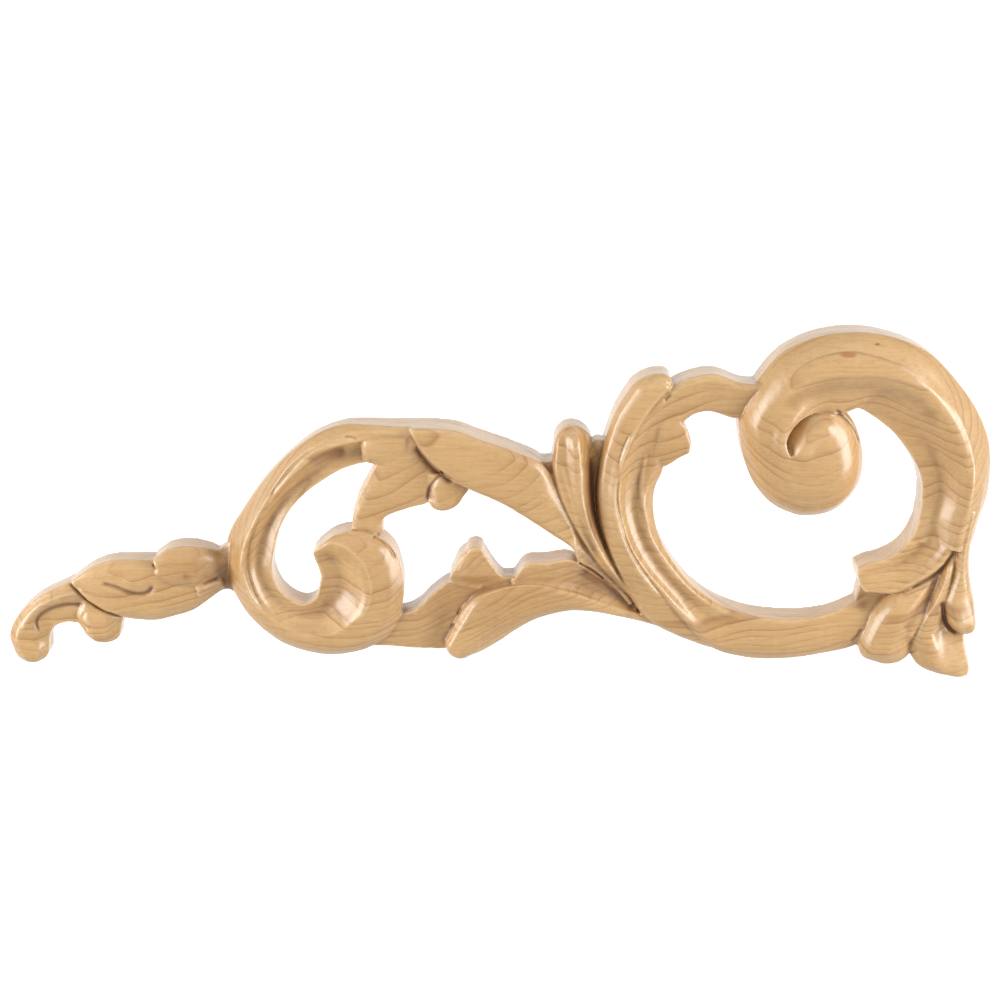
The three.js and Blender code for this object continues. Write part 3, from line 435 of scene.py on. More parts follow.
STROKES = {
  # The left scroll: its double ridge, the rim of the hollow volute, the lap over the leaf
  "ridge": [-0.35, 0.8, [[-55.3, 14.6], [-62.9, 12.7], [-69.3, 9.1], [-75.1, 4.1], [-81, -3.9],
    [-85.8, -11.9], [-90, -20], [-92.9, -28.2], [-93.8, -36.4], [-92.8, -43.2], [-89.8, -50.9],
    [-86.1, -56.5]]],
  "ridge groove": [0.4, 0.55, [[-62.4, 11.2], [-68.6, 7.7], [-74, 2.9], [-79.8, -4.7],
    [-84.5, -12.5], [-88.6, -20.4], [-91.4, -28.4], [-92.3, -36.4], [-91.4, -42.8], [-88.5, -50],
    [-84, -56]]],
  "second ridge": [-0.25, 0.7, [[-73, 1.9], [-78.7, -5.4], [-83.3, -13], [-87.3, -20.8],
    [-90, -28.6], [-90.9, -36.4], [-90, -42.4], [-87.3, -49.2], [-83, -54.6]]],
  "dish rim": [-0.4, 0.9, [[-66.8, -28.8], [-62, -26.7], [-57.5, -27.5], [-53.7, -30.2],
    [-49.9, -34.3], [-47.6, -40.5], [-47.1, -46], [-48.8, -52.3], [-53.5, -58.5]]],
  "volute lap": [0.6, 0.5, [[-46.2, -24.3], [-42.8, -26.4], [-39.8, -29.4], [-37.9, -33.3]]],
  "volute pinhole": [0.8, 0.6, [[-46.6, -24.5], [-45.2, -24.6]]],
  "flute end": [0.5, 0.6, [[-56, 13.4], [-53, 13.2], [-50.6, 12]]],
  "flute pocket": [0.8, 2.0, [[-84, -11], [-79, -3.8], [-74, 0.8], [-69.2, 3.8], [-64, 6],
    [-59, 7.4], [-54.5, 7.6]]],
  "flute bottom": [0.8, 1.7, [[-70, 3.6], [-64, 6.4], [-59, 7.8], [-54.4, 8.2]]],
  "dish hollow": [0.5, 3.8, [[-53.5, -43], [-54.6, -49], [-57.6, -54], [-63, -57]]],

  # The leaves between
  "long leaf shade": [0.9, 1.5, [[-30.6, 10.4], [-28, 6.4], [-24.6, 2.2], [-20, -1.6],
    [-16.4, -4.2]]],
  "hanging lobe crease": [0.7, 0.8, [[-26.4, -11], [-25.4, -6], [-22.4, -2], [-20, 0.4]]],
  "leaf slit low": [0.7, 0.5, [[-18.1, -61.6], [-17.2, -58.4]]],
  "leaf slit middle": [0.7, 0.5, [[-15.8, -55.4], [-14.6, -53.6], [-13.4, -52.2]]],
  "leaf slit high": [0.7, 0.5, [[-12.4, -50.4], [-10.6, -48.8]]],
  "peak edge": [-0.5, 0.8, [[-18.8, -41.4], [-13.2, -43.3], [-6, -44.1]]],
  "broad leaf crest": [-0.3, 1.0, [[-16, -65], [-13, -58], [-10, -52], [-5, -47], [0, -44],
    [6, -42.8], [13, -42.5], [22.5, -43.7], [33, -46.3], [44, -50.3], [53, -55.6]]],
  "fan hollow": [1.2, 2.9, [[31.4, 7], [32.7, -1.4], [33.4, -11.8], [34.6, -22.2], [38, -32.4]]],
  "fan root valley": [0.9, 2.0, [[29, -36.5], [33.4, -39.9], [40, -43.8], [46.2, -48.6],
    [51.5, -52.9]]],
  "fan rib": [-0.5, 0.7, [[27.3, -32.9], [30.7, -35.4], [36.2, -38.7], [42, -43]]],
  "fan rib groove": [0.12, 0.9, [[26.6, -34.6], [30, -36.8], [35.4, -40.2], [41, -44.2]]],
  "fan second rib": [-0.3, 0.6, [[26.4, -36], [30, -38.2], [35, -41.4], [40, -45]]],
  "fan edge": [-0.35, 0.7, [[30.6, -14], [31.6, -19], [33.4, -24.5], [36.4, -30.5], [40, -36.5]]],
  "fan second edge": [-0.45, 0.8, [[22.1, 5], [24.3, -4.2], [27.2, -14.4], [30.6, -24.5],
    [34.8, -32.9]]],

  # The great C: its double ridge, the inner ridge, the slit and the crease of the outer leaf
  "great ridge groove": [0.35, 0.5, [[48.4, 18.6], [44.6, 10.8], [42.7, 4.2], [42.1, -2.8],
    [42, -10.9], [44.1, -19.8], [46.7, -28.4], [51.3, -36.4], [56.4, -43]]],
  "great second ridge": [-0.3, 0.6, [[48.6, 16.8], [45.6, 10.4], [43.8, 4], [43.2, -2.9],
    [43.1, -10.8], [45.2, -19.5], [47.7, -28], [52.2, -35.8]]],
  "inner ridge": [-0.4, 0.7, [[52.4, 8], [51.6, 2.2], [51.1, -4.4], [51.8, -11], [53.4, -17.6],
    [55.4, -22]]],
  "inner groove": [0.15, 0.6, [[50.4, 2], [49.9, -4.6], [50.6, -11.4], [52.2, -18]]],
  "tip slit": [0.6, 0.6, [[60.8, 29.2], [59.4, 27.7], [57.9, 26.3]]],
  "tip fold": [-0.3, 0.6, [[56.1, 33.2], [58.3, 32.1], [60.5, 29.7]]],
  "tip crease": [0.5, 0.6, [[60, 37], [59.7, 34], [59.2, 31.6]]],

  # The great scroll and the ball of its volute
  "scroll shoulder": [-0.5, 1.6, [[95, 22], [98.5, 27], [104.4, 31.4], [113.6, 35], [127.8, 36.2],
    [141.9, 34], [152.5, 29.6], [159.2, 23.4]]],
  "shoulder hollow": [0.55, 3.0, [[99, 20], [105, 26.5], [114, 30.6], [126, 31.6], [139, 29.6],
    [149, 24.5], [157, 15]]],
  "scroll ridge": [-0.35, 0.9, [[160.2, 25.8], [165.5, 15], [169.3, 2.7], [168.9, -10],
    [168, -20]]],
  "ball top": [-1.3, 3.2, [[107.4, 2], [107.8, 8], [110.4, 13.4], [115, 17], [121, 18]]],
  "ball crease": [1.2, 0.6, [[118.8, 23.6], [121.6, 21.5], [124.4, 19.2], [126.6, 16.4],
    [128, 13.4], [128.7, 10.6]]],

  # The foot: the folded lip, the crests of the two lobes and the drop
  "lip fold": [-0.35, 0.9, [[131.8, -43.6], [133.1, -45.2], [137.2, -46.2], [141, -46.6],
    [145.8, -45.6], [150.4, -43], [155, -40], [158.7, -37.4], [161.6, -34], [163.6, -30.6],
    [164.8, -27.5]]],
  "under the lip": [0.6, 0.5, [[150, -45], [155.4, -42.2], [159.4, -39.4], [162.8, -35.6],
    [164.8, -31.8], [166, -28.6]]],
  "lobe flank": [0.4, 1.6, [[160.5, -38.5], [157.6, -46.5], [152.5, -55], [148, -62]]],
  "stained recess": [0.8, 3.0, [[136.5, -47.6], [133.6, -51.4], [132.2, -55.6]]],
  "lobe crest": [-1.5, 1.7, [[164.3, -33], [162.6, -40], [160.7, -46.8], [158.3, -51.8],
    [155.7, -56], [153, -61], [150.4, -66]]],
  "drop crease": [1.0, 0.9, [[162, -49], [163.2, -53.6], [165, -57.8], [167.4, -61], [170, -62.8]]],
  "lobe notch": [0.5, 0.6, [[152.4, -71], [153.6, -69.6], [155, -68.8]]],
  "stem end crease": [0.5, 0.7, [[134, -60], [132.2, -63.6], [130.2, -66]]],

  # The tail
  "body lap": [0.9, 0.6, [[-159.4, -41.8], [-156, -45.6], [-152.4, -49.4], [-146.6, -53.4],
    [-138.6, -56.2]]],
  "body lip": [-0.35, 0.8, [[-155, -43.8], [-151.4, -48], [-146, -51.8], [-139, -54.6]]],
  "body dent": [0.7, 1.1, [[-147, -42.4], [-141.4, -43.9], [-136, -46.2], [-131.5, -46.8],
    [-128.4, -45.2], [-127.8, -42.4]]],
  "body swell": [-0.7, 2.4, [[-139, -41], [-135.4, -41.4], [-131.8, -42.2], [-128.6, -44]]],
  "knuckle dent": [0.5, 2.4, [[-118.5, -38], [-114.5, -41.2], [-110, -42]]],
  "knuckle slit": [0.8, 0.5, [[-127.2, -34.8], [-126.2, -36.6], [-125.4, -38.2]]],
  "neck lap": [0.5, 0.6, [[-109.6, -43.6], [-106.6, -42], [-103.6, -40.6]]],
  "knuckle hollow": [0.4, 1.4, [[-117, -40], [-111, -40.2], [-106, -39.2]]],
  "curl groove": [0.7, 0.9, [[-153, -51.6], [-157.6, -51], [-163, -51.6], [-168, -53.4],
    [-171.2, -56.2], [-171.8, -59.4], [-170.4, -63]]],
  "curl ridge": [-0.35, 0.8, [[-152, -47.2], [-158.6, -47], [-166, -49.2], [-171.6, -52.6],
    [-175.4, -57.6], [-177, -63]]],
  "tail ball lip": [-0.35, 0.8, [[-155.4, -53.4], [-156.2, -56.8], [-155, -60.2], [-152, -62.6]]],
  "tail ball groove": [0.35, 0.8, [[-153.2, -53.4], [-154.4, -56.6], [-153.4, -59.4], [-151, -61]]],
}

# How the carving is made fine

ROW = 0.9  # mm between rows along a member
COLUMNS = 30  # points across a member
CAP_STEPS = 10  # rows in the rounding of a member's end
CAP_TURN = 1.5  # radians of the quarter turn that rounds an end
VOXEL = 0.42  # mm, the grain in which the members are fused before they are sanded
SANDING = 6  # passes that take the edges down to a radius of about half a millimetre
STROKE_STEP = 0.8  # mm between points along a gouge's stroke
STROKE_REACH = 3  # half widths from a stroke's line, beyond which it takes nothing
FADE_SHARE = 0.12  # a stroke runs out over this share of its length at least,
FADE_WIDTHS = 1.8  # and over this many of its half widths
RIPPLES = [[0.05, 9, 3], [0.02, 3.5, 4]]  # hand work's unevenness: height and length in mm, seed
BACK_BAND = 0.5  # mm in front of the back that the plane takes off
CREASE_PASSES = 12  # averages over the neighbours that tell a crease,
EDGE_PASSES = 4  # an edge,
HOLLOW_PASSES = 90  # and a wider hollow
CUT_SHARE = 0.3  # how much of a stroke's depth counts as a crease
MOST_TRIANGLES = 192_000


# From the drawing to rows of points


def edge_points(points, stations):
    """Points on a centripetal Catmull-Rom curve through `points`, at numbers of the way along."""
    points = np.array(points, float)
    before = 2 * points[0] - points[1]
    after = 2 * points[-1] - points[-2]
    padded = np.vstack([before, points, after])
    span = np.minimum(np.floor(stations).astype(int), len(points) - 2)
    share = (stations - span)[:, None]
    p0, p1, p2, p3 = (padded[span + i] for i in range(4))

    def spacing(a, b):
        return np.maximum(np.sum((b - a) ** 2, axis=1) ** 0.25, 1e-4)[:, None]

    d0, d1, d2 = spacing(p0, p1), spacing(p1, p2), spacing(p2, p3)
    out = ((p1 - p0) / d0 - (p2 - p0) / (d0 + d1) + (p2 - p1) / d1) * d1
    into = ((p2 - p1) / d1 - (p3 - p1) / (d1 + d2) + (p3 - p2) / d2) * d1
    square = -3 * p1 + 3 * p2 - 2 * out - into
    cube = 2 * p1 - 2 * p2 + out + into
    return p1 + out * share + square * share**2 + cube * share**3


def stations_along(reach, step):
    """Numbers of the way along a line whose spans are `reach` long, about `step` apart."""
    steps = np.maximum(1, np.round(reach / step).astype(int))
    return np.concatenate([k + np.arange(n) / n for k, n in enumerate(steps)] + [[len(steps)]])


def section_at(sections, station):
    """The knots of the section at `station`, eased between the drawn ones on either side."""
    drawn = sorted(sections)
    after = next((s for s in drawn if s >= station), drawn[-1])
    before = next((s for s in reversed(drawn) if s <= station), drawn[0])
    share = 0.0 if after == before else (station - before) / (after - before)
    share = share * share * (3 - 2 * share)
    first, second = np.array(sections[before], float), np.array(sections[after], float)
    return (1 - share) * first + share * second


def fair(knots, across):
    """Heights along a section: a monotone cubic through its knots, so that it never overshoots."""
    x, y = knots[:, 0], knots[:, 1]
    step = np.diff(x)
    slope = np.diff(y) / step
    tangent = np.empty_like(y)
    tangent[0], tangent[-1] = slope[0], slope[-1]
    with np.errstate(divide="ignore", invalid="ignore"):
        mean = 2 * slope[:-1] * slope[1:] / (slope[:-1] + slope[1:])
    tangent[1:-1] = np.where(slope[:-1] * slope[1:] > 0, mean, 0.0)
    i = np.clip(np.searchsorted(x, across, side="right") - 1, 0, len(step) - 1)
    t = (across - x[i]) / step[i]
    rise = step[i]
    return (
        (2 * t**3 - 3 * t**2 + 1) * y[i]
        + (t**3 - 2 * t**2 + t) * rise * tangent[i]
        + (3 * t**2 - 2 * t**3) * y[i + 1]
        + (t**3 - t**2) * rise * tangent[i + 1]
    )


def rounded_end(last, inner, length):
    """Rows that shrink along a quarter ellipse beyond `last`, to round a member's end."""
    first, second, knots = last
    middle, half = (first + second) / 2, (first - second) / 2
    outward = middle - (inner[0] + inner[1]) / 2
    outward /= np.linalg.norm(outward)
    low = min(knots[0, 1], knots[-1, 1])
    rows = []
    for turn in CAP_TURN * np.arange(1, CAP_STEPS + 1) / CAP_STEPS:
        centre = middle + outward * length * math.sin(turn)
        lowered = knots.copy()
        lowered[:, 1] = low + (knots[:, 1] - low) * math.cos(turn)
        rows.append((centre + half * math.cos(turn), centre - half * math.cos(turn), lowered))
    return rows


def member_rows(member):
    """Every row of a member: both its ends, and the knots of the section between them."""
    cuts = np.array(member["cuts"], float)
    reach = (
        np.linalg.norm(np.diff(cuts[:, :2], axis=0), axis=1)
        + np.linalg.norm(np.diff(cuts[:, 2:], axis=0), axis=1)
    ) / 2
    stations = stations_along(reach, ROW)
    firsts = edge_points(cuts[:, :2], stations)
    seconds = edge_points(cuts[:, 2:], stations)
    rows = [(a, b, section_at(member["sections"], s)) for a, b, s in zip(firsts, seconds, stations)]
    if "start" in member:
        rows = rounded_end(rows[0], rows[1], member["start"])[::-1] + rows
    if "end" in member:
        rows = rows + rounded_end(rows[-1], rows[-2], member["end"])
    return rows


def member_shell(member):
    """A member as vertices and faces: its carved face, its sides and its flat back."""
    even = np.linspace(0, 1, COLUMNS)
    across = 0.5 * even + 0.5 * (0.5 - 0.5 * np.cos(np.pi * even))
    face = []
    for first, second, knots in member_rows(member):
        place = first + (second - first) * across[:, None]
        face.append(np.column_stack([place[:, 0], -fair(knots, across), place[:, 1]]))
    face = np.array(face)
    back = face.copy()
    back[..., 1] = 0
    points = np.concatenate([face.reshape(-1, 3), back.reshape(-1, 3)])
    front, behind = np.arange(len(points)).reshape(2, *face.shape[:2])

    def strip(a, b):
        return np.stack([a[:-1], a[1:], b[1:], b[:-1]], axis=-1).reshape(-1, 4)

    def sheet(grid):
        corners = [grid[:-1, :-1], grid[:-1, 1:], grid[1:, 1:], grid[1:, :-1]]
        return np.stack(corners, axis=-1).reshape(-1, 4)

    quads = [
        sheet(front),
        sheet(behind)[:, ::-1],
        strip(behind[:, 0], front[:, 0])[:, ::-1],
        strip(front[:, -1], behind[:, -1])[:, ::-1],
        strip(front[0], behind[0])[:, ::-1],
        strip(behind[-1], front[-1])[:, ::-1],
    ]
    quads = np.concatenate(quads)
    corner = points[quads]
    volume = np.sum(np.cross(corner[:, 0], corner[:, 1]) * corner[:, 2])
    volume += np.sum(np.cross(corner[:, 0], corner[:, 2]) * corner[:, 3])
    return points, (quads if volume > 0 else quads[:, ::-1])


# Fusing, sanding and tooling the surface


def mesh_of(name, points, faces):
    mesh = bpy.data.meshes.new(name)
    mesh.from_pydata(points.tolist(), [], faces.tolist())
    mesh.update()
    return mesh


def new_piece(name, data):
    """An object that stands in the scene."""
    piece = bpy.data.objects.new(name, data)
    bpy.context.collection.objects.link(piece)
    return piece


def with_modifier(mesh, kind, **settings):
    """The mesh after one modifier, as a plain mesh of its own."""
    piece = new_piece("blank", mesh)
    modifier = piece.modifiers.new(kind.lower(), kind)
    for setting, value in settings.items():
        setattr(modifier, setting, value)
    bpy.context.view_layer.update()
    depsgraph = bpy.context.evaluated_depsgraph_get()
    result = bpy.data.meshes.new_from_object(piece.evaluated_get(depsgraph))
    bpy.data.objects.remove(piece)
    bpy.data.meshes.remove(mesh)
    return result


def read_points(mesh):
    points = np.empty(3 * len(mesh.vertices))
    mesh.vertices.foreach_get("co", points)
    return points.reshape(-1, 3)


def write_points(mesh, points):
    mesh.vertices.foreach_set("co", points.ravel())
    mesh.update()


def read_edges(mesh):
    edges = np.empty(2 * len(mesh.edges), int)
    mesh.edges.foreach_get("vertices", edges)
    return edges.reshape(-1, 2)


def read_normals(mesh):
    normals = np.empty(3 * len(mesh.vertices))
    mesh.vertex_normals.foreach_get("vector", normals)
    return normals.reshape(-1, 3)


class Neighbours:
    """Averages over each point's neighbours, along the edges of a mesh."""

    def __init__(self, edges, count):
        self.a = np.concatenate([edges[:, 0], edges[:, 1]])
        self.b = np.concatenate([edges[:, 1], edges[:, 0]])
        self.count = count
        self.share = 1 / np.maximum(np.bincount(self.a, minlength=count), 1)

    def mean(self, values):
        columns = values.reshape(self.count, -1).T
        sums = [np.bincount(self.a, weights=c[self.b], minlength=self.count) for c in columns]
        return (np.array(sums) * self.share).T.reshape(values.shape)


def sanded(points, around, passes):
    """Taubin smoothing: takes off the steps of the voxels without shrinking the work."""
    for _ in range(passes):
        for pull in (0.6, -0.62):
            points = points + pull * (around.mean(points) - points)
    return points


def nearness(places, line, half_width):
    """From 0 to 1, how near each place is to a line, fading over its ends."""
    reach = np.linalg.norm(np.diff(line, axis=0), axis=1)
    line = edge_points(line, stations_along(reach, STROKE_STEP))
    start, step = line[:-1], np.diff(line, axis=0)
    share = np.einsum("psk,sk->ps", places[:, None] - start, step) / np.sum(step**2, axis=1)
    share = np.clip(share, 0, 1)
    away = np.linalg.norm(places[:, None] - (start + share[..., None] * step), axis=2)
    nearest = np.argmin(away, axis=1)
    every = np.arange(len(places))
    along = (nearest + share[every, nearest]) / len(step)
    fade = min(0.5, max(FADE_SHARE, FADE_WIDTHS * half_width / np.sum(reach)))
    taper = np.clip(np.minimum(along, 1 - along) / fade, 0, 1)
    return taper * taper * (3 - 2 * taper) * np.exp(-((away[every, nearest] / half_width) ** 2))


def on_the_face(normals):
    """From 0 to 1, how fairly each point looks out of the carved face, and not out of a wall."""
    return np.clip((-normals[:, 1] - 0.15) / 0.4, 0, 1)


def gouged(points, normals):
    """The depth that the strokes take off each point, in mm, and that of their dark cuts alone."""
    seen = np.column_stack([points[:, 0], points[:, 2] + (points[:, 1] + EYE_LEVEL) * EYE_SLOPE])
    facing = on_the_face(normals)
    taken, cut = np.zeros(len(points)), np.zeros(len(points))
    for depth, half_width, line in STROKES.values():
        line = np.array(line, float)
        margin = STROKE_REACH * half_width
        low, high = line.min(axis=0) - margin, line.max(axis=0) + margin
        close = np.flatnonzero(np.all((seen > low) & (seen < high), axis=1) & (facing > 0))
        near = nearness(seen[close], line, half_width) * facing[close]
        taken[close] += depth * near
        cut[close] = np.maximum(cut[close], depth * near)
    return taken, cut


def ripple(points, length, seed, waves=9):
    """A gentle unevenness about `length` mm long, mostly from -1 to 1, always the same."""
    random = np.random.default_rng(seed)
    total = np.zeros(len(points))
    for _ in range(waves):
        direction = random.normal(size=3)
        direction *= 2 * math.pi / (length * random.uniform(0.7, 1.5) * np.linalg.norm(direction))
        total += np.sin(points @ direction + random.uniform(0, 2 * math.pi))
    return total / math.sqrt(waves)


def hollowness(points, normals, around, passes):
    """How deep each point lies in a crease, in mm: how far its surroundings stand before it."""
    blurred = points
    for _ in range(passes):
        blurred = around.mean(blurred)
    return np.sum((blurred - points) * normals, axis=1)


def lowness(points, facing, around, passes):
    """How far each point of the face lies below the carved face around it, in mm."""
    heights, weights = -points[:, 1] * facing, facing
    for _ in range(passes):
        heights, weights = around.mean(heights), around.mean(weights)
    return (heights / np.maximum(weights, 1e-6) + points[:, 1]) * facing


def carve():
    """The whole onlay as one mesh in millimetres. Its creases, its wider hollows and its edges are
    marked, in millimetres too."""
    points, faces, offset = [], [], 0
    for member in MEMBERS.values():
        p, f = member_shell(member)
        points.append(p)
        faces.append(f + offset)
        offset += len(p)
    points = np.concatenate(points)
    plan, relief = LENGTH / np.ptp(points[:, 0]), DEPTH / np.ptp(points[:, 1])
    rough = mesh_of("rough", points * (plan, relief, plan), np.concatenate(faces))
    fused = with_modifier(rough, "REMESH", mode="VOXEL", voxel_size=VOXEL, adaptivity=0.0)
    around = Neighbours(read_edges(fused), len(fused.vertices))
    write_points(fused, sanded(read_points(fused), around, SANDING))

    place, normals = read_points(fused), read_normals(fused)
    taken, cut = gouged(place, normals)
    place[:, 1] += taken
    uneven = sum(height * ripple(place, length, seed) for height, length, seed in RIPPLES)
    place += normals * uneven[:, None]
    planed = (place[:, 1] > -BACK_BAND) & (normals[:, 1] > 0.7)
    place[:, 1] = np.where(planed, 0.0, np.minimum(place[:, 1], 0.0))
    place = sanded(place, around, 1)
    place[planed, 1] = 0.0
    write_points(fused, place)

    normals = read_normals(fused)
    # These marks become painted shade in creases and hollows, and a painted highlight on edges.
    crease = hollowness(place, normals, around, CREASE_PASSES) + CUT_SHARE * cut
    crease = around.mean(crease)
    edge = around.mean(-hollowness(place, normals, around, EDGE_PASSES))
    fine = with_modifier(fused, "DECIMATE", ratio=MOST_TRIANGLES / (2 * len(fused.polygons)))
    near = kdtree.KDTree(len(place))
    for i, p in enumerate(place):
        near.insert(p, i)
    near.balance()
    kept = [near.find(v.co)[1] for v in fine.vertices]

    place, normals = read_points(fine), read_normals(fine)
    around = Neighbours(read_edges(fine), len(place))
    facing = on_the_face(normals)
    # What slopes down to the outline is low too, but bulges: it is no hollow.
    inside = np.clip(1 + (hollowness(place, normals, around, HOLLOW_PASSES) + 0.2) / 0.9, 0, 1)
    hollow = around.mean(lowness(place, facing, around, HOLLOW_PASSES) * inside)
    return fine, {"crease": crease[kept], "edge": edge[kept], "hollow": hollow}


# Materials

# Painted shade in the hollows and creases that `carve` marks, with some lacquer gathered there,
# and a painted highlight on its edges, with some wear: from so many mm to so many, its strength and
# its colour
PAINTED_SHADE_AND_HIGHLIGHT = [
    ["hollow", 0.7, 3.2, 0.7, "#85572A"],
    ["crease", 0.04, 0.45, 0.85, "#683E1A"],
    ["edge", 0.03, 0.15, 0.45, "#EBCFA4"],
]

# Broad patches made darker: centre x, z and length and height in mm
DARKER_PATCHES = [[(-6, -45), (90, 32)], [(-112, -36), (40, 22)]]

# Marks in the wood and on it, and patches of painted shade: centre x, z and length and height in
# mm, how much of it is even, its strength and its colour
MARKS = {
    "knot": [(121.8, 45.0), (6.4, 2.0), 0.6, 0.85, "#A8682A"],
    "pin knot": [(132.4, 48.0), (2.2, 0.9), 0.6, 0.7, "#7A4E2A"],
    # The patches from here on are painted shade in a recess, the flute and the fan's valleys; in
    # the foot's recess and at the neck there is some stain too.
    "painted shade and stain in the foot's recess": [(134.5, -50.5), (14, 10), 0.1, 0.6, "#85562B"],
    "painted shade and stain at the neck": [(-100.6, -41.2), (8, 11), 0.3, 0.8, "#75491F"],
    "painted shade behind the knuckle": [(-103.5, -31.2), (7, 7), 0.1, 0.55, "#7A4E2A"],
    "painted shade in the flute": [(-58.5, 5.2), (24, 10), 0.1, 0.5, "#8A5A2E"],
    "painted shade between the fan and the great C": [(33.6, -13), (11, 44), 0.1, 0.5, "#85562B"],
    "painted shade at the fan's root": [(37.5, -42.5), (28, 15), 0.1, 0.5, "#85562B"],
}


def linear(colour):
    """An sRGB hex colour as the linear values that a shader takes."""
    channels = [int(colour[i : i + 2], 16) / 255 for i in (1, 3, 5)]
    return [c / 12.92 if c <= 0.04045 else ((c + 0.055) / 1.055) ** 2.4 for c in channels] + [1.0]


def add(tree, kind, links=None, **settings):
    """A node with its settings and its inputs: a socket is linked to, a value is set."""
    node = tree.nodes.new(kind)
    for setting, value in settings.items():
        setattr(node, setting, value)
    for socket, source in (links or {}).items():
        if isinstance(source, bpy.types.NodeSocket):
            tree.links.new(source, node.inputs[socket])
        else:
            node.inputs[socket].default_value = source
    return node


def arithmetic(tree, operation, a, b=0.0):
    return add(tree, "ShaderNodeMath", {0: a, 1: b}, operation=operation).outputs[0]


def vectors(tree, operation, a, b):
    return add(tree, "ShaderNodeVectorMath", {0: a, 1: b}, operation=operation).outputs[0]


def length_of(tree, vector):
    return add(tree, "ShaderNodeVectorMath", {0: vector}, operation="LENGTH").outputs["Value"]


def noise(tree, place, sizes, detail=2.0, colour=False):
    """Noise whose grains are about `sizes` long in X, Y and Z, in millimetres."""
    scale = tuple(1 / (size * MM) for size in sizes)
    spread = add(tree, "ShaderNodeMapping", {"Vector": place, "Scale": scale}).outputs[0]
    field = add(tree, "ShaderNodeTexNoise", {"Vector": spread, "Scale": 1.0, "Detail": detail})
    return field.outputs["Color" if colour else "Fac"]


def between(tree, value, low, high, to_low=0.0, to_high=1.0):
    """`value` from `low` to `high` as a number from `to_low` to `to_high`, held at both ends."""
    ends = {"From Min": low, "From Max": high, "To Min": to_low, "To Max": to_high}
    return add(tree, "ShaderNodeMapRange", {"Value": value, **ends}).outputs[0]


def tinted(tree, amount, under, over):
    """The colour `under`, gone over to the colour `over` by `amount`."""
    links = {"Factor": amount, "A": under, "B": over}
    return add(tree, "ShaderNodeMix", links, data_type="RGBA").outputs["Result"]


def growth_rings(tree, place):
    """From 0 to 1, the dark late wood of each year: a board sawn flat out of a log that grew
    unevenly. Its heart ran almost along X, in front of the carved face and above its middle."""
    bend = noise(tree, place, (70, 45, 55), colour=True)
    bend = vectors(tree, "SUBTRACT", bend, (0.5, 0.5, 0.5))
    bend = vectors(tree, "MULTIPLY", bend, (0.0, 0.009, 0.022))
    log = vectors(tree, "ADD", place, bend)
    # The heart wanders: it climbs 25 mm over the middle of the board.
    east = add(tree, "ShaderNodeSeparateXYZ", {"Vector": place}).outputs["X"]
    climb = arithmetic(tree, "TANH", arithmetic(tree, "MULTIPLY", east, 36.0))
    climb = arithmetic(tree, "MULTIPLY", climb, -0.0125)
    climb = add(tree, "ShaderNodeCombineXYZ", {"Z": climb}).outputs["Vector"]
    log = vectors(tree, "ADD", log, climb)
    lie = {"Vector": log, "Location": (0, 0.086, -0.034), "Rotation": (0, 0.035, 0.02)}
    log = add(tree, "ShaderNodeMapping", lie).outputs[0]
    radius = length_of(tree, vectors(tree, "MULTIPLY", log, (0, 1, 1)))
    # 310 years to the metre: rings 3 mm wide on average, in runs of wide and of narrow ones
    uneven = {"W": radius, "Scale": 110.0, "Detail": 1.0}
    uneven = add(tree, "ShaderNodeTexNoise", uneven, noise_dimensions="1D").outputs["Fac"]
    years = arithmetic(tree, "MULTIPLY", radius, 310.0)
    years = arithmetic(tree, "ADD", years, arithmetic(tree, "MULTIPLY", uneven, 3.0))
    season = arithmetic(tree, "FRACT", years)
    late = add(tree, "ShaderNodeValToRGB", {"Fac": season})
    stops = late.color_ramp.elements
    stops[1].color = (0.0, 0.0, 0.0, 1)  # black at both ends
    for position, grey in ((0.08, 0.0), (0.62, 0.14), (0.86, 0.5), (0.93, 1.0)):
        stops.new(position).color = (grey, grey, grey, 1)
    return late.outputs["Color"]


def oval_patch(tree, place, centre, size, core):
    """From 0 to 1, an oval patch on the face, `size` mm long and high, of which `core` is even: for
    knots, stains, darker patches and painted shade.
    """
    away = vectors(tree, "SUBTRACT", place, (centre[0] * MM, 0, centre[1] * MM))
    away = vectors(tree, "MULTIPLY", away, (2 / (size[0] * MM), 0, 2 / (size[1] * MM)))
    return between(tree, length_of(tree, away), core, 1.1, 1.0, 0.0)


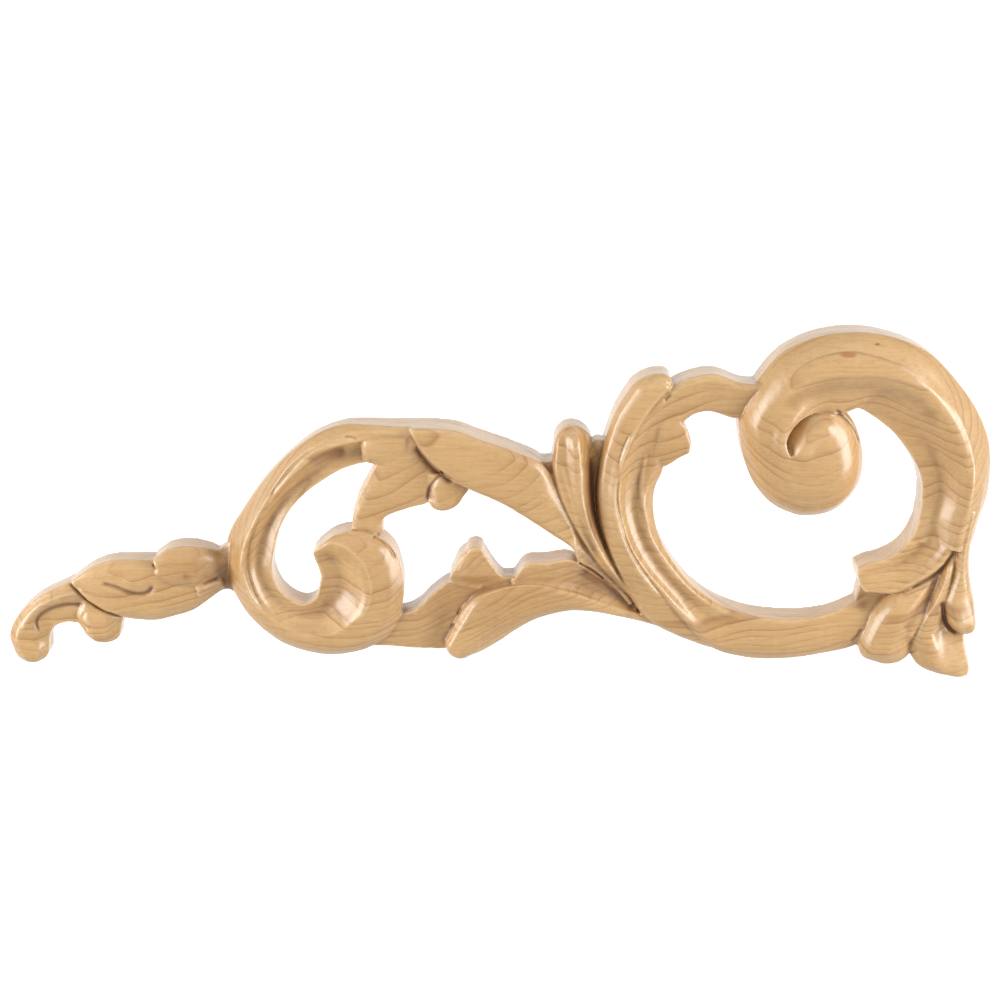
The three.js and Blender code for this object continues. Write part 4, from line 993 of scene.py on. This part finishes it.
def lacquered_maple():
    """Hard maple, flat sawn, sanded and given a satin lacquer: a pale honey wood with thin brown
    rings that wander over the relief, fine streaks along the grain, painted shade in the creases
    where some lacquer has also gathered, and a painted highlight on the edges."""
    material = bpy.data.materials.new("lacquered_maple")
    material.use_nodes = True
    tree = material.node_tree
    tree.nodes.clear()
    place = add(tree, "ShaderNodeTexCoord").outputs["Object"]

    wood = tinted(tree, noise(tree, place, (48, 26, 26)), linear("#D7B07A"), linear("#C49860"))
    # The broad patches, laid darker over the wood's colour.
    for centre, size in DARKER_PATCHES:
        dark = arithmetic(tree, "MULTIPLY", oval_patch(tree, place, centre, size, 0.1), 0.42)
        wood = tinted(tree, dark, wood, linear("#A97A43"))
    strength = between(tree, noise(tree, place, (36, 14, 14)), 0.38, 0.62, 0.2, 0.8)
    rings = arithmetic(tree, "MULTIPLY", growth_rings(tree, place), strength)
    wood = tinted(tree, rings, wood, linear("#93602C"))

    # Fibres are drawn about a millimetre wide, coarser than in the wood, so that they show.
    fibre = noise(tree, place, (16, 0.9, 0.9), detail=3.0)
    wood = tinted(tree, between(tree, fibre, 0.42, 0.72, 0.0, 0.3), wood, linear("#A0743F"))
    # Flecks are the rays, 2 to 3 mm long. The curl is a faint paler sheen across the grain.
    fleck = noise(tree, place, (2.6, 0.3, 0.3), detail=1.0)
    wood = tinted(tree, between(tree, fleck, 0.56, 0.74, 0.0, 0.28), wood, linear("#94693A"))
    curl = noise(tree, place, (2.4, 12, 12), detail=1.0)
    wood = tinted(tree, between(tree, curl, 0.5, 0.8, 0.0, 0.05), wood, linear("#EBD0A6"))

    # Painted shade in the hollows and creases, and a painted highlight on the edges.
    for name, least, most, strength, colour in PAINTED_SHADE_AND_HIGHLIGHT:
        form = add(tree, "ShaderNodeAttribute", attribute_name=name).outputs["Fac"]
        amount = between(tree, form, least, most, 0.0, strength)
        wood = tinted(tree, amount, wood, linear(colour))

    # The marks reach in from the carved face, and fade out before the back.
    depth = add(tree, "ShaderNodeSeparateXYZ", {"Vector": place}).outputs["Y"]
    # Knots, stains and patches of painted shade.
    for centre, size, core, strength, colour in MARKS.values():
        amount = between(tree, depth, -0.008, -0.003, strength, 0.0)
        mark = arithmetic(tree, "MULTIPLY", oval_patch(tree, place, centre, size, core), amount)
        wood = tinted(tree, mark, wood, linear(colour))

    grain = {"Height": fibre, "Strength": 0.12, "Distance": 0.0002}
    surface = {
        "Base Color": wood,
        "Roughness": 0.42,
        "Normal": add(tree, "ShaderNodeBump", grain).outputs[0],
        "Coat Weight": 1.0,
        "Coat Roughness": 0.27,
    }
    shader = add(tree, "ShaderNodeBsdfPrincipled", surface)
    add(tree, "ShaderNodeOutputMaterial", {"Surface": shader.outputs[0]})
    return material


def white_paper(name, glow):
    """White studio paper, matt and even. The backdrop's glows as if it had lamps of its own, so
    that it burns out to white."""
    material = bpy.data.materials.new(name)
    material.use_nodes = True
    shader = material.node_tree.nodes["Principled BSDF"]
    shader.inputs["Base Color"].default_value = linear("#FAFAFA")
    shader.inputs["Roughness"].default_value = 0.9
    shader.inputs["Specular IOR Level"].default_value = 0.0
    shader.inputs["Emission Color"].default_value = (1, 1, 1, 1)
    shader.inputs["Emission Strength"].default_value = glow
    return material


# The onlay

mesh, marks = carve()
mesh.name = "carved_maple_onlay"
write_points(mesh, read_points(mesh) * MM)
for mark, values in marks.items():
    attribute = mesh.attributes.new(mark, "FLOAT", "POINT")
    attribute.data.foreach_set("value", values.astype(np.float32))
mesh.shade_smooth()
mesh.materials.clear()
mesh.materials.append(lacquered_maple())
onlay = new_piece("carved_maple_onlay", mesh)
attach(onlay, "root")
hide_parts("carved_onlay")

# The studio: a paper floor well below the work, a lit white backdrop, a tall soft light on either
# side and a wide one above the camera

SIDE, BACK, FLOOR, TOP = 4, 2.6, -1.9, 1.7  # metres: how far the paper reaches


def paper_sheet(name, corners, glow):
    sheet = mesh_of(name, np.array(corners, float), np.array([[0, 1, 2, 3]]))
    sheet.materials.append(white_paper(name, glow))
    new_piece(name, sheet)


def softbox(name, place, size, power):
    lamp = bpy.data.lights.new(name, "AREA")
    lamp.shape = "RECTANGLE"
    lamp.size, lamp.size_y = size
    lamp.energy = power
    piece = new_piece(name, lamp)
    piece.location = place
    piece.rotation_euler = (-Vector(place)).to_track_quat("-Z", "Y").to_euler()


floor = [[-SIDE, -SIDE, FLOOR], [SIDE, -SIDE, FLOOR], [SIDE, BACK, FLOOR], [-SIDE, BACK, FLOOR]]
backdrop = [[-SIDE, BACK, FLOOR], [SIDE, BACK, FLOOR], [SIDE, BACK, TOP], [-SIDE, BACK, TOP]]
paper_sheet("paper_floor", floor, 0.0)
paper_sheet("paper_backdrop", backdrop, 0.62)
softbox("left_softbox", (-0.9, -0.4, 0.1), (0.45, 0.8), 8.5)
softbox("right_softbox", (0.9, -0.4, 0.1), (0.45, 0.8), 8.5)
softbox("top_softbox", (0.0, -0.55, 1.0), (1.5, 0.8), 2.3)

world = bpy.data.worlds.new("studio")
bpy.context.scene.world = world
world.use_nodes = True
sky = world.node_tree.nodes["Background"].inputs
sky["Color"].default_value = (1, 1, 1, 1)
sky["Strength"].default_value = 0.5
bpy.context.scene.view_settings.view_transform = "Standard"

# The camera, 0.7 m away and as far above as the photo's
camera = bpy.data.cameras.new("camera")
camera.lens = 70
view = new_piece("camera", camera)
view.location = (0, -0.6813, 0.2068)
view.rotation_euler = (math.radians(90) - EYE_ANGLE, 0, 0)
bpy.context.scene.camera = view
